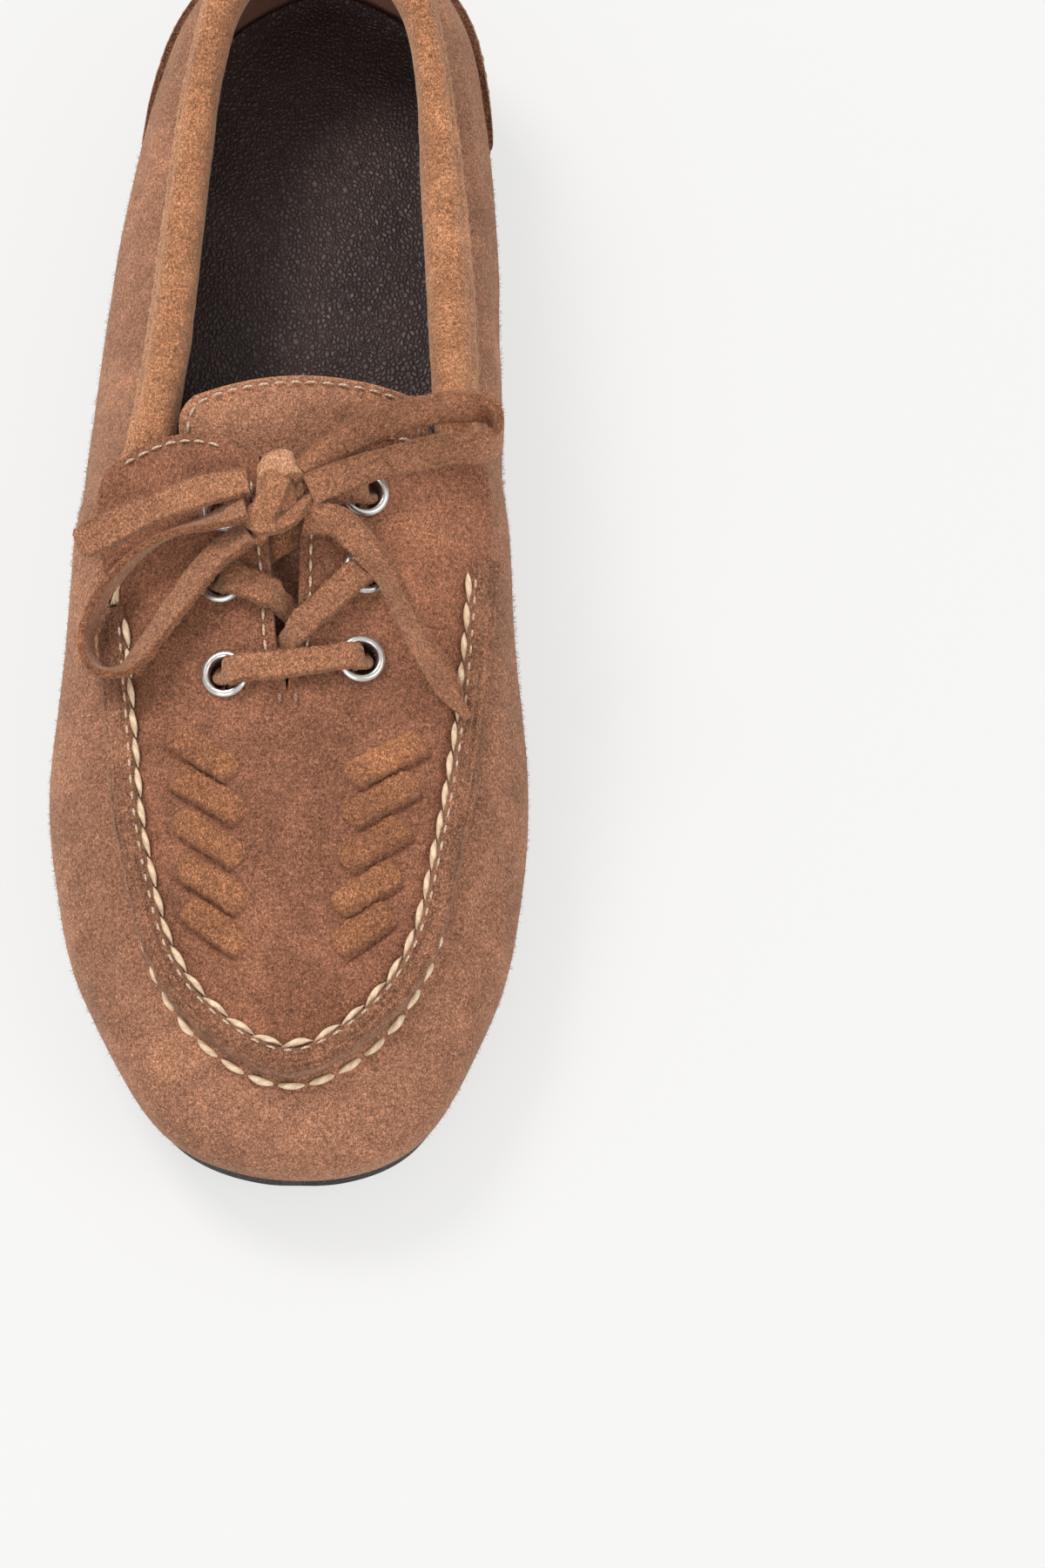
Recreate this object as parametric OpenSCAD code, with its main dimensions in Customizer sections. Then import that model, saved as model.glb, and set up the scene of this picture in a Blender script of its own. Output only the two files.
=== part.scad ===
// Lace-up suede moccasin, right foot, size EU 38. Toe towards -Y, inner (big toe) side towards +X,
// ground at Z = 0. The mirror image makes the left shoe.

/* [Last] */
// Overall length of the shoe at the widest level, mm
shoe_len = 256; // [246:1:264]
// Extra height of the instep over the standard last, mm
instep_extra = 0; // [-1:0.5:2]

/* [Sole] */
// Thickness of the rubber outsole, mm
outsole_t = 4; // [3:0.5:5]
// Height of the heel block under the outsole, mm
heel_h = 8; // [6:0.5:10]
// Thickness of the rubber top piece at the bottom of the heel, mm
top_piece_t = 3.5; // [2:0.5:4.5]
// Rise of the outsole at the toe, mm
toe_spring = 5.5; // [4:0.5:7]
// Thickness of the insole board, mm
board_t = 1.5; // [1:0.1:2]
// Thickness of the footbed foam, mm
foam_t = 3; // [2:0.5:4]
// Thickness of the sock lining, mm
sock_t = 0.9; // [0.6:0.1:1.2]

/* [Upper] */
// Thickness of the outer suede, mm
suede_t = 1.5; // [1.2:0.1:1.6]
// Thickness of the lining leather, mm
lining_t = 0.9; // [0.6:0.1:1]
// Thickness of the heel counter and toe puff, mm
stiff_t = 1.1; // [0.8:0.1:1.2]
// Width of the raised apron seam, mm
welt_w = 4.6; // [4:0.2:5]
// Height of the raised apron seam over the apron, mm
welt_h = 2.8; // [2.4:0.2:3.4]
// Thickness of the padded collar from inner to outer face, as a share of the standard one
collar_k = 1; // [0.9:0.05:1.05]

/* [Fastening] */
// Outer diameter of the eyelets, mm
eyelet_od = 9; // [8.6:0.1:9.4]
// Clear diameter of the eyelets, mm
eyelet_id = 5.9; // [5.7:0.1:6.1]
// Width of the cut suede lace, mm
lace_w = 5.8; // [5.4:0.1:6]
// Thickness of the lace, mm
lace_t = 1.3; // [1.1:0.1:1.3]
// Width of the strips woven through the apron, mm
strip_w = 5.2; // [4.6:0.1:5.4]

/* [Stitching] */
// Length of one hand stitch on the apron seam, mm
hand_stitch = 4.9; // [4.4:0.1:5.2]
// Pitch of the hand stitches, mm
hand_pitch = 5.8; // [5.6:0.1:6.4]
// Thickness of the hand-stitch thread, mm
hand_thread = 1.2; // [0.8:0.1:1.2]
// Thickness of the machine thread, mm
thread_t = 0.5; // [0.4:0.05:0.5]

/* [Hidden] */

// ---- colours
suede = [0.60, 0.41, 0.31]; suede_lt = [0.70, 0.50, 0.38]; suede_dk = [0.47, 0.32, 0.24];
lining_c = [0.62, 0.45, 0.38]; thread_c = [0.92, 0.83, 0.66]; rubber = [0.10, 0.10, 0.10];

// ---- helpers
k = shoe_len / 256;
gap = 0.15;                       // glue line between neighbouring layers
function unit(a) = a / norm(a);
function cr(a, b, c, d, t) = 0.5 * (2*b + (c - a)*t + (2*a - 5*b + 4*c - d)*t*t + (3*b - a - 3*c + d)*t*t*t);
// smooth table lookup: rows of [key, value], keys rising
function seg(T, x, i = 0) = (i >= len(T) - 2 || x < T[i + 1][0]) ? i : seg(T, x, i + 1);
function slope(T, i) = i == 0 ? (T[1][1] - T[0][1])/(T[1][0] - T[0][0])
    : i == len(T) - 1 ? (T[i][1] - T[i-1][1])/(T[i][0] - T[i-1][0])
    : (T[i+1][1] - T[i-1][1])/(T[i+1][0] - T[i-1][0]);
function hz(T, x) = let(i = seg(T, x), w = T[i+1][0] - T[i][0], t = (x - T[i][0])/w, a = slope(T, i)*w, b = slope(T, i+1)*w)
    (2*t*t*t - 3*t*t + 1)*T[i][1] + (t*t*t - 2*t*t + t)*a + (3*t*t - 2*t*t*t)*T[i+1][1] + (t*t*t - t*t)*b;
function sstep(t) = let(c = max(0, min(1, t))) c*c*(3 - 2*c);
// closed list of control points, read at a fractional index
function rdc(L, u) = let(n = len(L), f = floor(u), t = u - f) cr(L[(f + 3*n - 1) % n], L[(f + 3*n) % n], L[(f + 3*n + 1) % n], L[(f + 3*n + 2) % n], t);
// open list of control points, read at a fractional index
function rdo(L, u) = let(n = len(L), f = max(0, min(n - 2, floor(u))), t = u - f)
    cr(L[max(0, f-1)], L[f], L[f+1], L[min(n-1, f+2)], t);

// ---- the last: height of the feather line and of the apron
function rise(y) = y > -20 ? heel_h * sstep((y + 20)/70) : y < -85 ? toe_spring * pow((-y - 85)/43, 2) : 0;
function zf(y) = outsole_t + rise(y/k);
ZC = [[-125, 25], [-118, 28], [-113, 30], [-108, 32], [-95, 36], [-70, 42], [-40, 49], [-10, 58], [0, 60.5], [12, 63], [25, 65]];
KC = [[-125, 0.0062], [-95, 0.0062], [-70, 0.006], [-40, 0.0076], [-10, 0.0098], [25, 0.0102]];
xc = 1.7;
function Hb(x, y) = hz(ZC, y) - hz(KC, y) * pow(x - xc, 2);
function H(x, y) = k * Hb(x/k, y/k) + instep_extra * sstep((y/k + 100)/80);
function nH(x, y) = unit([-(H(x + 0.5, y) - H(x - 0.5, y)), -(H(x, y + 0.5) - H(x, y - 0.5)), 1]);

// ---- ribs round the shoe: widest point x, y, z; top edge x, y, z (0: on the apron surface);
//      how far the feather line sits in; lean of the top edge in degrees
RIBS = [
    [4.8, 127.4, 27, 5, 119.2, 51, 4.5, 72],
    [-11, 121.2, 27, -9, 114, 50, 4.5, 70],
    [-22.4, 109.5, 26.5, -16.6, 105, 46.5, 4.2, 68],
    [-29.4, 89, 25, -21.5, 87, 43, 4, 62],
    [-34.9, 60, 23, -24.8, 60, 41, 4, 60],
    [-38.5, 28, 21, -27.8, 28, 42, 4, 58],
    [-40.3, 6, 20, -30.6, 6, 45.5, 4, 55],
    [-41.3, -8, 19.5, -35, -6, 0, 4, 50],
    [-43, -30, 18.5, -33.2, -27, 0, 4, 45],
    [-45, -53, 17.5, -31, -51, 0, 4, 40],
    [-43.2, -73.5, 17, -28.8, -71, 0, 4, 38],
    [-37.6, -94.5, 16.5, -23, -93.5, 0, 3.8, 37],
    [-21, -122.2, 16.5, -12.8, -107, 0, 3.6, 37],
    [2.6, -130.4, 17, 1.6, -113.8, 0, 3.5, 38],
    [25, -122.8, 16.5, 16, -106.6, 0, 3.6, 37],
    [39.5, -95, 16.5, 26.2, -92.5, 0, 3.8, 37],
    [43.9, -73, 17, 31.5, -71, 0, 4, 40],
    [45, -53, 17.5, 34.6, -51, 0, 4, 45],
    [43.2, -30, 18.5, 36.8, -27, 0, 4, 50],
    [41.4, -8, 19.5, 37.3, -6, 0, 4, 58],
    [40.3, 6, 20.5, 35.5, 6, 45, 4, 62],
    [39.9, 28, 21, 35.6, 28, 42, 4, 66],
    [39.2, 60, 23, 33.3, 60, 41, 4, 66],
    [36.6, 89, 25, 30, 87, 43, 4, 66],
    [32, 109.5, 26.5, 26, 105, 46.5, 4.2, 69],
    [21, 121.2, 27, 18.5, 114, 50, 4.5, 70]];
NR = len(RIBS);
function rib(u) = rdc(RIBS, u);
function mxy(u) = let(r = rib(u)) k * [r[0], r[1]];
function outn(u) = let(d = mxy(u + 0.05) - mxy(u - 0.05)) unit([d[1], -d[0]]);
TZL = [for (r = RIBS) r[5] > 0 ? r[5] : Hb(r[3], r[4]) - 0.3];
function topz(u) = u >= 7 && u <= 19 ? H(k*rib(u)[3], k*rib(u)[4]) - 0.3 : k*rdc(TZL, u);
function T3(u) = let(r = rib(u)) [k*r[3], k*r[4], topz(u)];
vl = 0.35;                         // share of the profile below the widest level
function S(u, v) = let(r = rib(u), m = mxy(u), n = outn(u), fin = r[6], zm = k*r[2])
    v < 0 ? let(p = m - n*(fin + v*-36)) [p[0], p[1], zf(p[1])]
    : v < vl ? let(a = v/vl*90, p = m - n*fin*(1 - sin(a)), z0 = zf(p[1])) [p[0], p[1], zm - (zm - z0)*cos(a)]
    : let(s = (v - vl)/(1 - vl), t = T3(u), P0 = [m[0], m[1], zm], hv = [m[0] - t[0], m[1] - t[1], 0],
          h2 = unit(hv), L = norm(P0 - t), P1 = P0 + [0, 0, 0.5*(t[2] - zm)],
          P2 = t + h2*0.42*L*cos(r[7]) - [0, 0, 0.42*L*sin(r[7])])
      pow(1-s, 3)*P0 + 3*s*pow(1-s, 2)*P1 + 3*s*s*(1-s)*P2 + s*s*s*t;
// outward normal of the side surface
function nS(u, v) = let(a = S(u + 0.04, v) - S(u - 0.04, v), b = S(u, min(1, v + 0.01)) - S(u, v - 0.01)) unit(cross(a, b));

// ---- solids from point grids
// shell between two grids A (outer) and B (inner); A[i][j], i round, j up
function gflat(A) = [for (r = A) for (p = r) p];
module shell(A, B, closed = false, flip = false) {
    m = len(A); n = len(A[0]); o = m*n;
    I = closed ? m : m - 1;
    function q(a, b, c, d) = [[a, b, c], [a, c, d]];
    f = concat(
        [for (i = [0:I-1]) for (j = [0:n-2]) let(i2 = (i+1) % m) for (t = q(i*n+j, i*n+j+1, i2*n+j+1, i2*n+j)) t],
        [for (i = [0:I-1]) for (j = [0:n-2]) let(i2 = (i+1) % m) for (t = q(o+i*n+j, o+i2*n+j, o+i2*n+j+1, o+i*n+j+1)) t],
        [for (i = [0:I-1]) let(i2 = (i+1) % m) for (t = q(i*n, i2*n, o+i2*n, o+i*n)) t],
        [for (i = [0:I-1]) let(i2 = (i+1) % m) for (t = q(i*n+n-1, o+i*n+n-1, o+i2*n+n-1, i2*n+n-1)) t],
        closed ? [] : [for (j = [0:n-2]) for (t = q(j, o+j, o+j+1, j+1)) t],
        closed ? [] : [for (j = [0:n-2]) let(e = (m-1)*n) for (t = q(e+j, e+j+1, o+e+j+1, o+e+j)) t]);
    polyhedron(concat(gflat(A), gflat(B)), flip ? [for (t = f) [t[2], t[1], t[0]]] : f, convexity = 8);
}
// tube through closed sections of equal point count
module loft(R, flip = false) {
    m = len(R); n = len(R[0]);
    f = concat(
        [for (i = [0:m-2]) for (j = [0:n-1]) let(j2 = (j+1) % n) for (t = [[i*n+j, i*n+j2, (i+1)*n+j2], [i*n+j, (i+1)*n+j2, (i+1)*n+j]]) t],
        [for (j = [1:n-2]) [0, j+1, j]],
        [for (j = [1:n-2]) let(e = (m-1)*n) [e, e+j, e+j+1]]);
    polyhedron(gflat(R), flip ? [for (t = f) [t[2], t[1], t[0]]] : f, convexity = 8);
}
// skin on the side of the shoe between ribs u0 and u1, depth d0 to d1 under the surface
module side_skin(u0, u1, v0, v1, d0, d1, nu, nv) {
    us = [for (i = [0:nu]) u0 + (u1 - u0)*i/nu];
    A = [for (u = us) let(b = v1) [for (j = [0:nv]) let(v = v0 + (b - v0)*j/nv) S(u, v) - nS(u, v)*d0]];
    B = [for (u = us) [for (j = [0:nv]) let(v = v0 + (v1 - v0)*j/nv) S(u, v) - nS(u, v)*d1]];
    shell(A, B);
}
// flat layer over the sole shape: inset from the widest outline, between two heights over the feather line
ends = 0.14;
module sole_layer(inset, z0, z1, n = 46, ia = 0, ib = 13, toe = 0) {
    ua = ia + (ia == 0 ? ends : 0); ub = ib - (ib == 13 ? ends : 0);
    A = [for (i = [0:n]) let(u = ua + (ub - ua)*i/n, s = inset - toe*sstep((u - 10.5)/2), a = mxy(u) - outn(u)*s, b = mxy(NR - u) - outn(NR - u)*s)
        [[a[0], a[1], zf(a[1]) + z1], [b[0], b[1], zf(b[1]) + z1]]];
    B = [for (r = A) [for (p = r) [p[0], p[1], p[2] - z1 + z0]]];
    shell(A, B);
}
// layer lying on the apron surface between two edge curves, depth d0 to d1
module apron_skin(E, d0, d1, nc) {
    A = [for (e = E) [for (j = [0:nc]) let(p = e[0] + (e[1] - e[0])*j/nc) [p[0], p[1], H(p[0], p[1]) - d0]]];
    B = [for (r = A) [for (p = r) [p[0], p[1], p[2] + d0 - d1]]];
    shell(A, B, flip = true);
}
module rod(p, q, d) {
    v = q - p; L = norm(v);
    translate(p) rotate([0, acos(v[2]/L), atan2(v[1], v[0])]) cylinder(h = L, d = d, $fn = 16);
}
// evenly spaced stitches along a list of points
function cum(P, i = 0, s = 0) = i >= len(P) - 1 ? [s] : concat([s], cum(P, i + 1, s + norm(P[i+1] - P[i])));
function at(P, C, s) = let(f = lookup(s, [for (i = [0:len(P)-1]) [C[i], i]]), a = min(len(P) - 2, floor(f)), t = f - a) P[a] + (P[a+1] - P[a])*t;
module stitches(P, pitch, L, d, start = 0.5) {
    C = cum(P); tot = C[len(C)-1]; n = floor((tot - start*2)/pitch); s0 = (tot - n*pitch)/2;
    for (i = [0:n-1]) rod(at(P, C, s0 + i*pitch + (pitch - L)/2), at(P, C, s0 + i*pitch + (pitch + L)/2), d);
}

// ---- sole
module outsole() color(rubber) sole_layer(3.3, -outsole_t, -0.1, toe = 1);
module heel_outline(inset, y0) {
    us = [for (i = [0:24]) ends + (5.2 - ends)*i/24];
    intersection() {
        polygon(concat([for (i = [24:-1:0]) let(u = us[i]) mxy(u) - outn(u)*inset], [for (u = us) mxy(NR - u) - outn(NR - u)*inset]));
        translate([-60, y0]) square([130, 100]);
    }
}
module heel_lift() color([0.16, 0.13, 0.12]) translate([0, 0, top_piece_t]) linear_extrude(heel_h - top_piece_t - 0.1) heel_outline(4.6, 54*k);
module heel_top_piece() color(rubber) linear_extrude(top_piece_t - 0.1) heel_outline(5, 54.5*k);
module bottom_filler() color([0.35, 0.27, 0.2]) sole_layer(14.5, 0, 1.5, 40, 0.9, 12.2);
module insole_board() color([0.75, 0.66, 0.52]) sole_layer(4.4, 1.75, 1.75 + board_t);
zb = 1.85 + board_t;               // top of the board over the feather line
module footbed_foam() color([0.85, 0.80, 0.7]) sole_layer(6.2, zb, zb + foam_t);
module sock_lining() color([0.20, 0.15, 0.14]) sole_layer(6.2, zb + foam_t + 0.1, zb + foam_t + 0.1 + sock_t);

// ---- side of the upper
module sidewall() color(suede_lt) {
    nu = NR*4;
    V = [-0.22, -0.08, 0.02, 0.1, 0.2, 0.32, 0.45, 0.6, 0.75, 0.88, 1];
    A = [for (i = [0:nu-1]) [for (v = V) S(i/4, v)]];
    B = [for (i = [0:nu-1]) [for (v = V) S(i/4, v) - nS(i/4, v)*suede_t]];
    shell(A, B, true);
}
dl = suede_t + gap*2 + stiff_t;    // depth of the lining under the outer face
module vamp_lining() color(lining_c) side_skin(7.05, 18.95, 0.17, 0.97, dl, dl + lining_t, 48, 5);
module quarter_lining_lateral() color(lining_c) side_skin(1.8, 6.95, 0.17, 0.93, dl, dl + lining_t, 20, 5);
module quarter_lining_medial() color(lining_c) side_skin(NR - 6.95, NR - 1.8, 0.17, 0.93, dl, dl + lining_t, 20, 5);
module heel_grip() color([0.55, 0.38, 0.32]) side_skin(-1.7, 1.7, 0.17, 0.93, dl, dl + lining_t, 14, 5);
module heel_counter() color([0.8, 0.74, 0.6]) side_skin(-2.9, 2.9, 0.17, 0.8, suede_t + gap, suede_t + gap + stiff_t, 24, 5);
module toe_puff() color([0.8, 0.74, 0.6]) side_skin(10.9, 15.1, 0.17, 0.9, suede_t + gap, suede_t + gap + stiff_t, 18, 5);
// heel overlay: low, wrapping forward on both sides, its top edge falling to the ends
function patch_top(u) = 0.52 - 0.24*pow(abs(u)/3.1, 4);
module heel_patch() color(suede_dk) {
    us = [for (i = [0:25]) -3.1 + 6.2*i/25];
    A = [for (u = us) [for (j = [0:5]) let(v = 0.13 + (patch_top(u) - 0.13)*j/5) S(u, v) + nS(u, v)*(0.25 + suede_t)]];
    B = [for (u = us) [for (j = [0:5]) let(v = 0.13 + (patch_top(u) - 0.13)*j/5) S(u, v) + nS(u, v)*0.25]];
    shell(A, B);
}
module heel_patch_stitches() color(thread_c) {
    P = [for (i = [0:80]) let(u = -2.95 + 5.9*i/80, v = patch_top(u) - 0.05) S(u, v) + nS(u, v)*(0.5 + suede_t + thread_t/2)];
    stitches(P, 3.4, 2.2, thread_t);
}

// ---- padded collar: inner edge of the foot opening, x and y, and crest height, for ribs 0 to 6
COL = [[5, 108.5, 59.5], [-3.5, 106.5, 58.5], [-10.5, 99, 55.5], [-14.2, 84, 52], [-16.5, 60, 50], [-18.6, 30, 51], [-21, 7, 54], [-22.5, -8, 56]];
COR = [[5, 108.5, 59.5], [13, 106.5, 58.5], [20, 99, 55.5], [23.2, 84, 52], [24.4, 60, 50], [26, 30, 51], [27.4, 7, 54], [28.2, -8, 56]];
function coin(u) = k * (abs(u) < 0.001 ? COL[0] : u > 0 ? (u < 1 ? cr(COR[1], COL[0], COL[1], COL[2], u) : rdo(COL, u)) : (u > -1 ? cr(COL[1], COR[0], COR[1], COR[2], -u) : rdo(COR, -u)));
// centre, outward half width and crest of the collar at rib u (negative on the inner side)
function cosec(u) = let(t = T3(u < 0 ? NR + u : u), c = coin(u), d = [t[0] - c[0], t[1] - c[1], 0], w = norm(d)/2) [[(t[0]+c[0])/2, (t[1]+c[1])/2, c[2] - 5], unit(d), w*collar_k];
function coring(u, wi, hi, a0, a1, n) = let(s = cosec(u)) [for (j = [0:n]) let(a = a0 + (a1 - a0)*j/n) s[0] + s[1]*(s[2] - wi)*cos(a) + [0, 0, (5 - hi)*sin(a)]];
cu = 6.26;
module collar() color(suede_lt) {
    us = [for (i = [0:46]) -cu + 2*cu*i/46];
    A = [for (u = us) coring(u, 0.2, 0, -32, 212, 9)];
    B = [for (u = us) coring(u, 1.2, 1, -32, 212, 9)];
    shell(A, B);
}
module collar_foam() color([0.9, 0.86, 0.7]) {
    us = [for (i = [0:40]) -cu + 0.05 + (2*cu - 0.1)*i/40];
    loft([for (u = us) let(s = cosec(u)) [for (j = [0:9]) let(a = 36*j) s[0] + s[1]*(s[2] - 1.6)*cos(a) + [0, 0, 3.5*sin(a)]]]);
}
module collar_stitches() color(thread_c) {
    P = [for (i = [0:160]) let(u = -6.1 + 12.2*i/160, s = cosec(u)) s[0] + s[1]*(s[2] + 0.35)*cos(-14) + [0, 0, 5.3*sin(-14)]];
    stitches(P, 3.6, 2.3, thread_t);
}

// ---- apron, with the facings that carry the eyelets
function edge(u, d) = let(t = T3(u), n = outn(u)) [t[0] - n[0]*d, t[1] - n[1]*d];
// slit edges and throat line: inner edge of each facing
SLL = [[-62, 0.7], [-47, 0.6], [-44.5, 0.2], [-41.5, -0.6], [-39, -1.4], [-35, -1.9], [-28, -2.2], [-20, -3], [-8, -4.4], [4, -5.4]];
SLR = [[-62, 0.6], [-47, 0.5], [-44.5, 0.7], [-41.5, 1.2], [-39, 2], [-35, 2.5], [-28, 2.7], [-20, 2.8], [-8, 3.6], [4, 4.6]];
function slx(side, y) = k * hz(side < 0 ? SLL : SLR, y/k);
// facing rows from the slit up to the throat; yend shapes the rounded top corner
module facing(side, d0, d1, nc, in = 0.5, lo = 9.26, hi = 6.55) {
    n = 12;
    E = [for (i = [0:n]) let(u = lo + (hi - lo)*i/n, e = edge(side < 0 ? u : NR - u, in)) [e, [slx(side, e[1]), e[1]]]];
    // the row ends at the throat bend back towards the tongue in the middle
    R = side < 0 ? E : [for (e = E) [e[1], e[0]]];
    A = [for (i = [0:n]) [for (j = [0:nc]) let(t = j/nc, tt = side < 0 ? t : 1 - t, b = 3.2*pow(i/n, 2)*(sin(180*min(1, tt*1.15)) - 0.9*pow(tt, 6)),
        p = R[i][0] + (R[i][1] - R[i][0])*t) [p[0], p[1] + b, H(p[0], p[1] + b) - d0]]];
    B = [for (r = A) [for (p = r) [p[0], p[1], p[2] + d0 - d1]]];
    shell(A, B, flip = true);
}
// upper edge of a facing, from its outer end to the slit
function throat(side, t) = let(e = edge(side < 0 ? 6.55 : NR - 6.55, 1.35)) [e[0] + (slx(side, e[1]) - e[0])*t, e[1] + 3.2*(sin(180*min(1, t*1.15)) - 0.9*pow(t, 6))];
EYL = [[-11, -42.7], [-11.8, -25.4], [-11, -12.6]];
EYM = [[14.2, -39.9], [15, -23.8], [14.8, -9.8]];
module at_eyelets(side) for (e = side < 0 ? EYL : EYM) {
    x = e[0]*k; y = e[1]*k; n = nH(x, y);
    translate([x, y, H(x, y)]) rotate([0, acos(n[2]), atan2(n[1], n[0])]) children();
}
module apron_body(d0, d1, in, nc) {
    difference() {
        union() {
            apron_skin([for (i = [0:15]) let(u = 12.85 - 3.63*i/15) [edge(u, in), edge(NR - u, in)]], d0, d1, nc);
            facing(-1, d0, d1, nc/2, in);
            facing(1, d0, d1, nc/2, in);
        }
        for (s = [-1, 1]) at_eyelets(s) translate([0, 0, -8]) cylinder(h = 16, r = eyelet_id/2 + 0.7, $fn = 12);
    }
}
module apron() color(suede) apron_body(0, suede_t, 1.35, 12);
module apron_lining() color(lining_c) apron_body(suede_t + 0.7, suede_t + 0.7 + 0.6, 3, 12);
module stay(side) difference() {
    n = 9;
    A = [for (i = [0:n]) let(y = (-50 + 46*i/n)*k) [for (j = [0:3]) let(w = side < 0 ? -17.5 : 8, x = (w + 11.5*j/3)*k) [x, y, H(x, y) - suede_t - 0.15]]];
    B = [for (r = A) [for (p = r) [p[0], p[1], p[2] - 0.4]]];
    shell(A, B, flip = true);
    at_eyelets(side) translate([0, 0, -8]) cylinder(h = 16, r = eyelet_id/2 + 0.7, $fn = 12);
}
module facing_stay_lateral() color([0.85, 0.83, 0.78]) stay(-1);
module facing_stay_medial() color([0.85, 0.83, 0.78]) stay(1);
module eyelet() {
    ri = eyelet_id/2; ro = eyelet_od/2;
    rotate_extrude($fn = 48) polygon([[ri, 0.75], [ri, -suede_t - 1.75], [ri + 0.45, -suede_t - 1.75], [ri + 0.45, 0.2], [ro - 0.1, 0.2], [ro, 0.35], [ro - 0.25, 0.7], [ro - 0.8, 0.95], [ri + 0.4, 0.95]]);
}
module eyelets_lateral() color([0.78, 0.78, 0.76]) at_eyelets(-1) eyelet();
module eyelets_medial() color([0.78, 0.78, 0.76]) at_eyelets(1) eyelet();

// raised seam round the apron
function welt_sec(u) = let(t = T3(u), n = outn(u), h = welt_w/2)
    [for (p = [[-h, 0.2], [-h, welt_h*0.72], [-h*0.55, welt_h], [h*0.5, welt_h], [h, welt_h*0.66], [h + 0.1, -0.9], [0.9, 0.1]])
        let(x = t[0] + n[0]*p[0], y = t[1] + n[1]*p[0]) [x, y, H(t[0] + n[0]*min(p[0], 0.5), t[1] + n[1]*min(p[0], 0.5)) + p[1]]];
module apron_welt() color(suede_dk) loft([for (i = [0:52]) welt_sec(8 + 10.4*i/52)], true);
function seamrow(a, b, off, h, n = 160) = [for (i = [0:n]) let(u = a + (b - a)*i/n, t = T3(u), n2 = outn(u), x = t[0] + n2[0]*off, y = t[1] + n2[1]*off) [x, y, H(x, y) + h]];
module hand_stitches_inner() color(thread_c) stitches(seamrow(8, 18.38, -welt_w/2 - 0.9, hand_thread/2 + 0.2), hand_pitch, hand_stitch, hand_thread);
module hand_stitches_outer() color(thread_c) stitches([for (i = [0:100]) let(u = 10.6 + 4.8*i/100, p = S(u, 0.91) + nS(u, 0.91)*(hand_thread/2 + 0.3)) p], hand_pitch, hand_stitch, hand_thread*0.9);
module seam_row_stitches() color(thread_c) stitches(seamrow(8.1, 18.3, -welt_w/2 + 0.75, welt_h + 0.35), 3.2, 1.8, thread_t);
// thread end tied off at the lateral end of the seam
module seam_wraps() color(thread_c) let(t = T3(7.9), n = outn(7.9), e = [n[1], -n[0]]) for (i = [-1, 1]) {
    p = [t[0] - e[0]*1.2 - n[0]*(1.4 + 0.7*i), t[1] - e[1]*1.2 - n[1]*(1.4 + 0.7*i)]; q = [t[0] + e[0]*1.4 - n[0]*(1.9 - 0.4*i), t[1] + e[1]*1.4 - n[1]*(1.9 - 0.4*i)];
    rod([p[0], p[1], H(p[0], p[1]) + 0.65], [q[0], q[1], H(q[0], q[1]) + 0.65], 0.7);
}

// strips woven through slits in the apron: both ends, x and y
WL = [[-21, -52.6, -9, -61], [-20.2, -60.4, -7.4, -69], [-19.8, -68.2, -7.6, -77], [-19.2, -76.6, -6.8, -85.4], [-17.8, -84.8, -6.6, -93]];
WM = [[25.8, -53.6, 12, -62], [24.4, -61.4, 11.6, -69.4], [22.8, -69.6, 10.8, -77.4], [21, -78.2, 9.8, -85.8], [19.8, -85.6, 9.6, -93.2]];
module strip(w) {
    a = [w[0]*k, w[1]*k]; b = [w[2]*k, w[3]*k]; d = unit(b - a); s = [-d[1], d[0]];
    loft([for (i = [0:7]) let(t = i/7, e = 0.35 + 0.65*sin(180*max(0.08, min(0.92, t))), p = a + (b - a)*t, hw = strip_w/2*(i == 0 || i == 7 ? 0.8 : 1), q1 = p + s*hw, q2 = p - s*hw)
        [[q1[0], q1[1], H(q1[0], q1[1]) + 0.15], [q1[0], q1[1], H(q1[0], q1[1]) + 0.3 + 0.6*e], [p[0], p[1], H(p[0], p[1]) + 0.35 + 0.95*e], [q2[0], q2[1], H(q2[0], q2[1]) + 0.3 + 0.6*e], [q2[0], q2[1], H(q2[0], q2[1]) + 0.15], [p[0], p[1], H(p[0], p[1]) + 0.15]]], true);
}
module weave_lateral() color(suede_lt) for (w = WL) strip(w);
module weave_medial() color(suede_lt) for (w = WM) strip(w);

module facing_stitches() color(thread_c) {
    for (s = [-1, 1]) stitches([for (i = [0:40]) let(y = (-43 + 36*i/40)*k, x = slx(s, y) + s*2) [x, y, H(x, y) + 0.15 + thread_t/2 + 0.1]], 3, 1.9, thread_t);
    for (s = [-1, 1]) stitches([for (i = [0:24]) let(p = throat(s, 0.08 + 0.72*i/24), x = p[0], y = p[1] - 1.6) [x, y, H(x, y) + 0.15 + thread_t/2 + 0.1]], 3, 1.9, thread_t);
}
module bar_tack() color([0.8, 0.62, 0.55]) for (x = [-0.8, 2.2]) rod([x*k, -48.6*k, H(x*k, -48.6*k) + 0.6], [x*k, -46.6*k, H(x*k, -46.6*k) + 0.6], 0.6);

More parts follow.
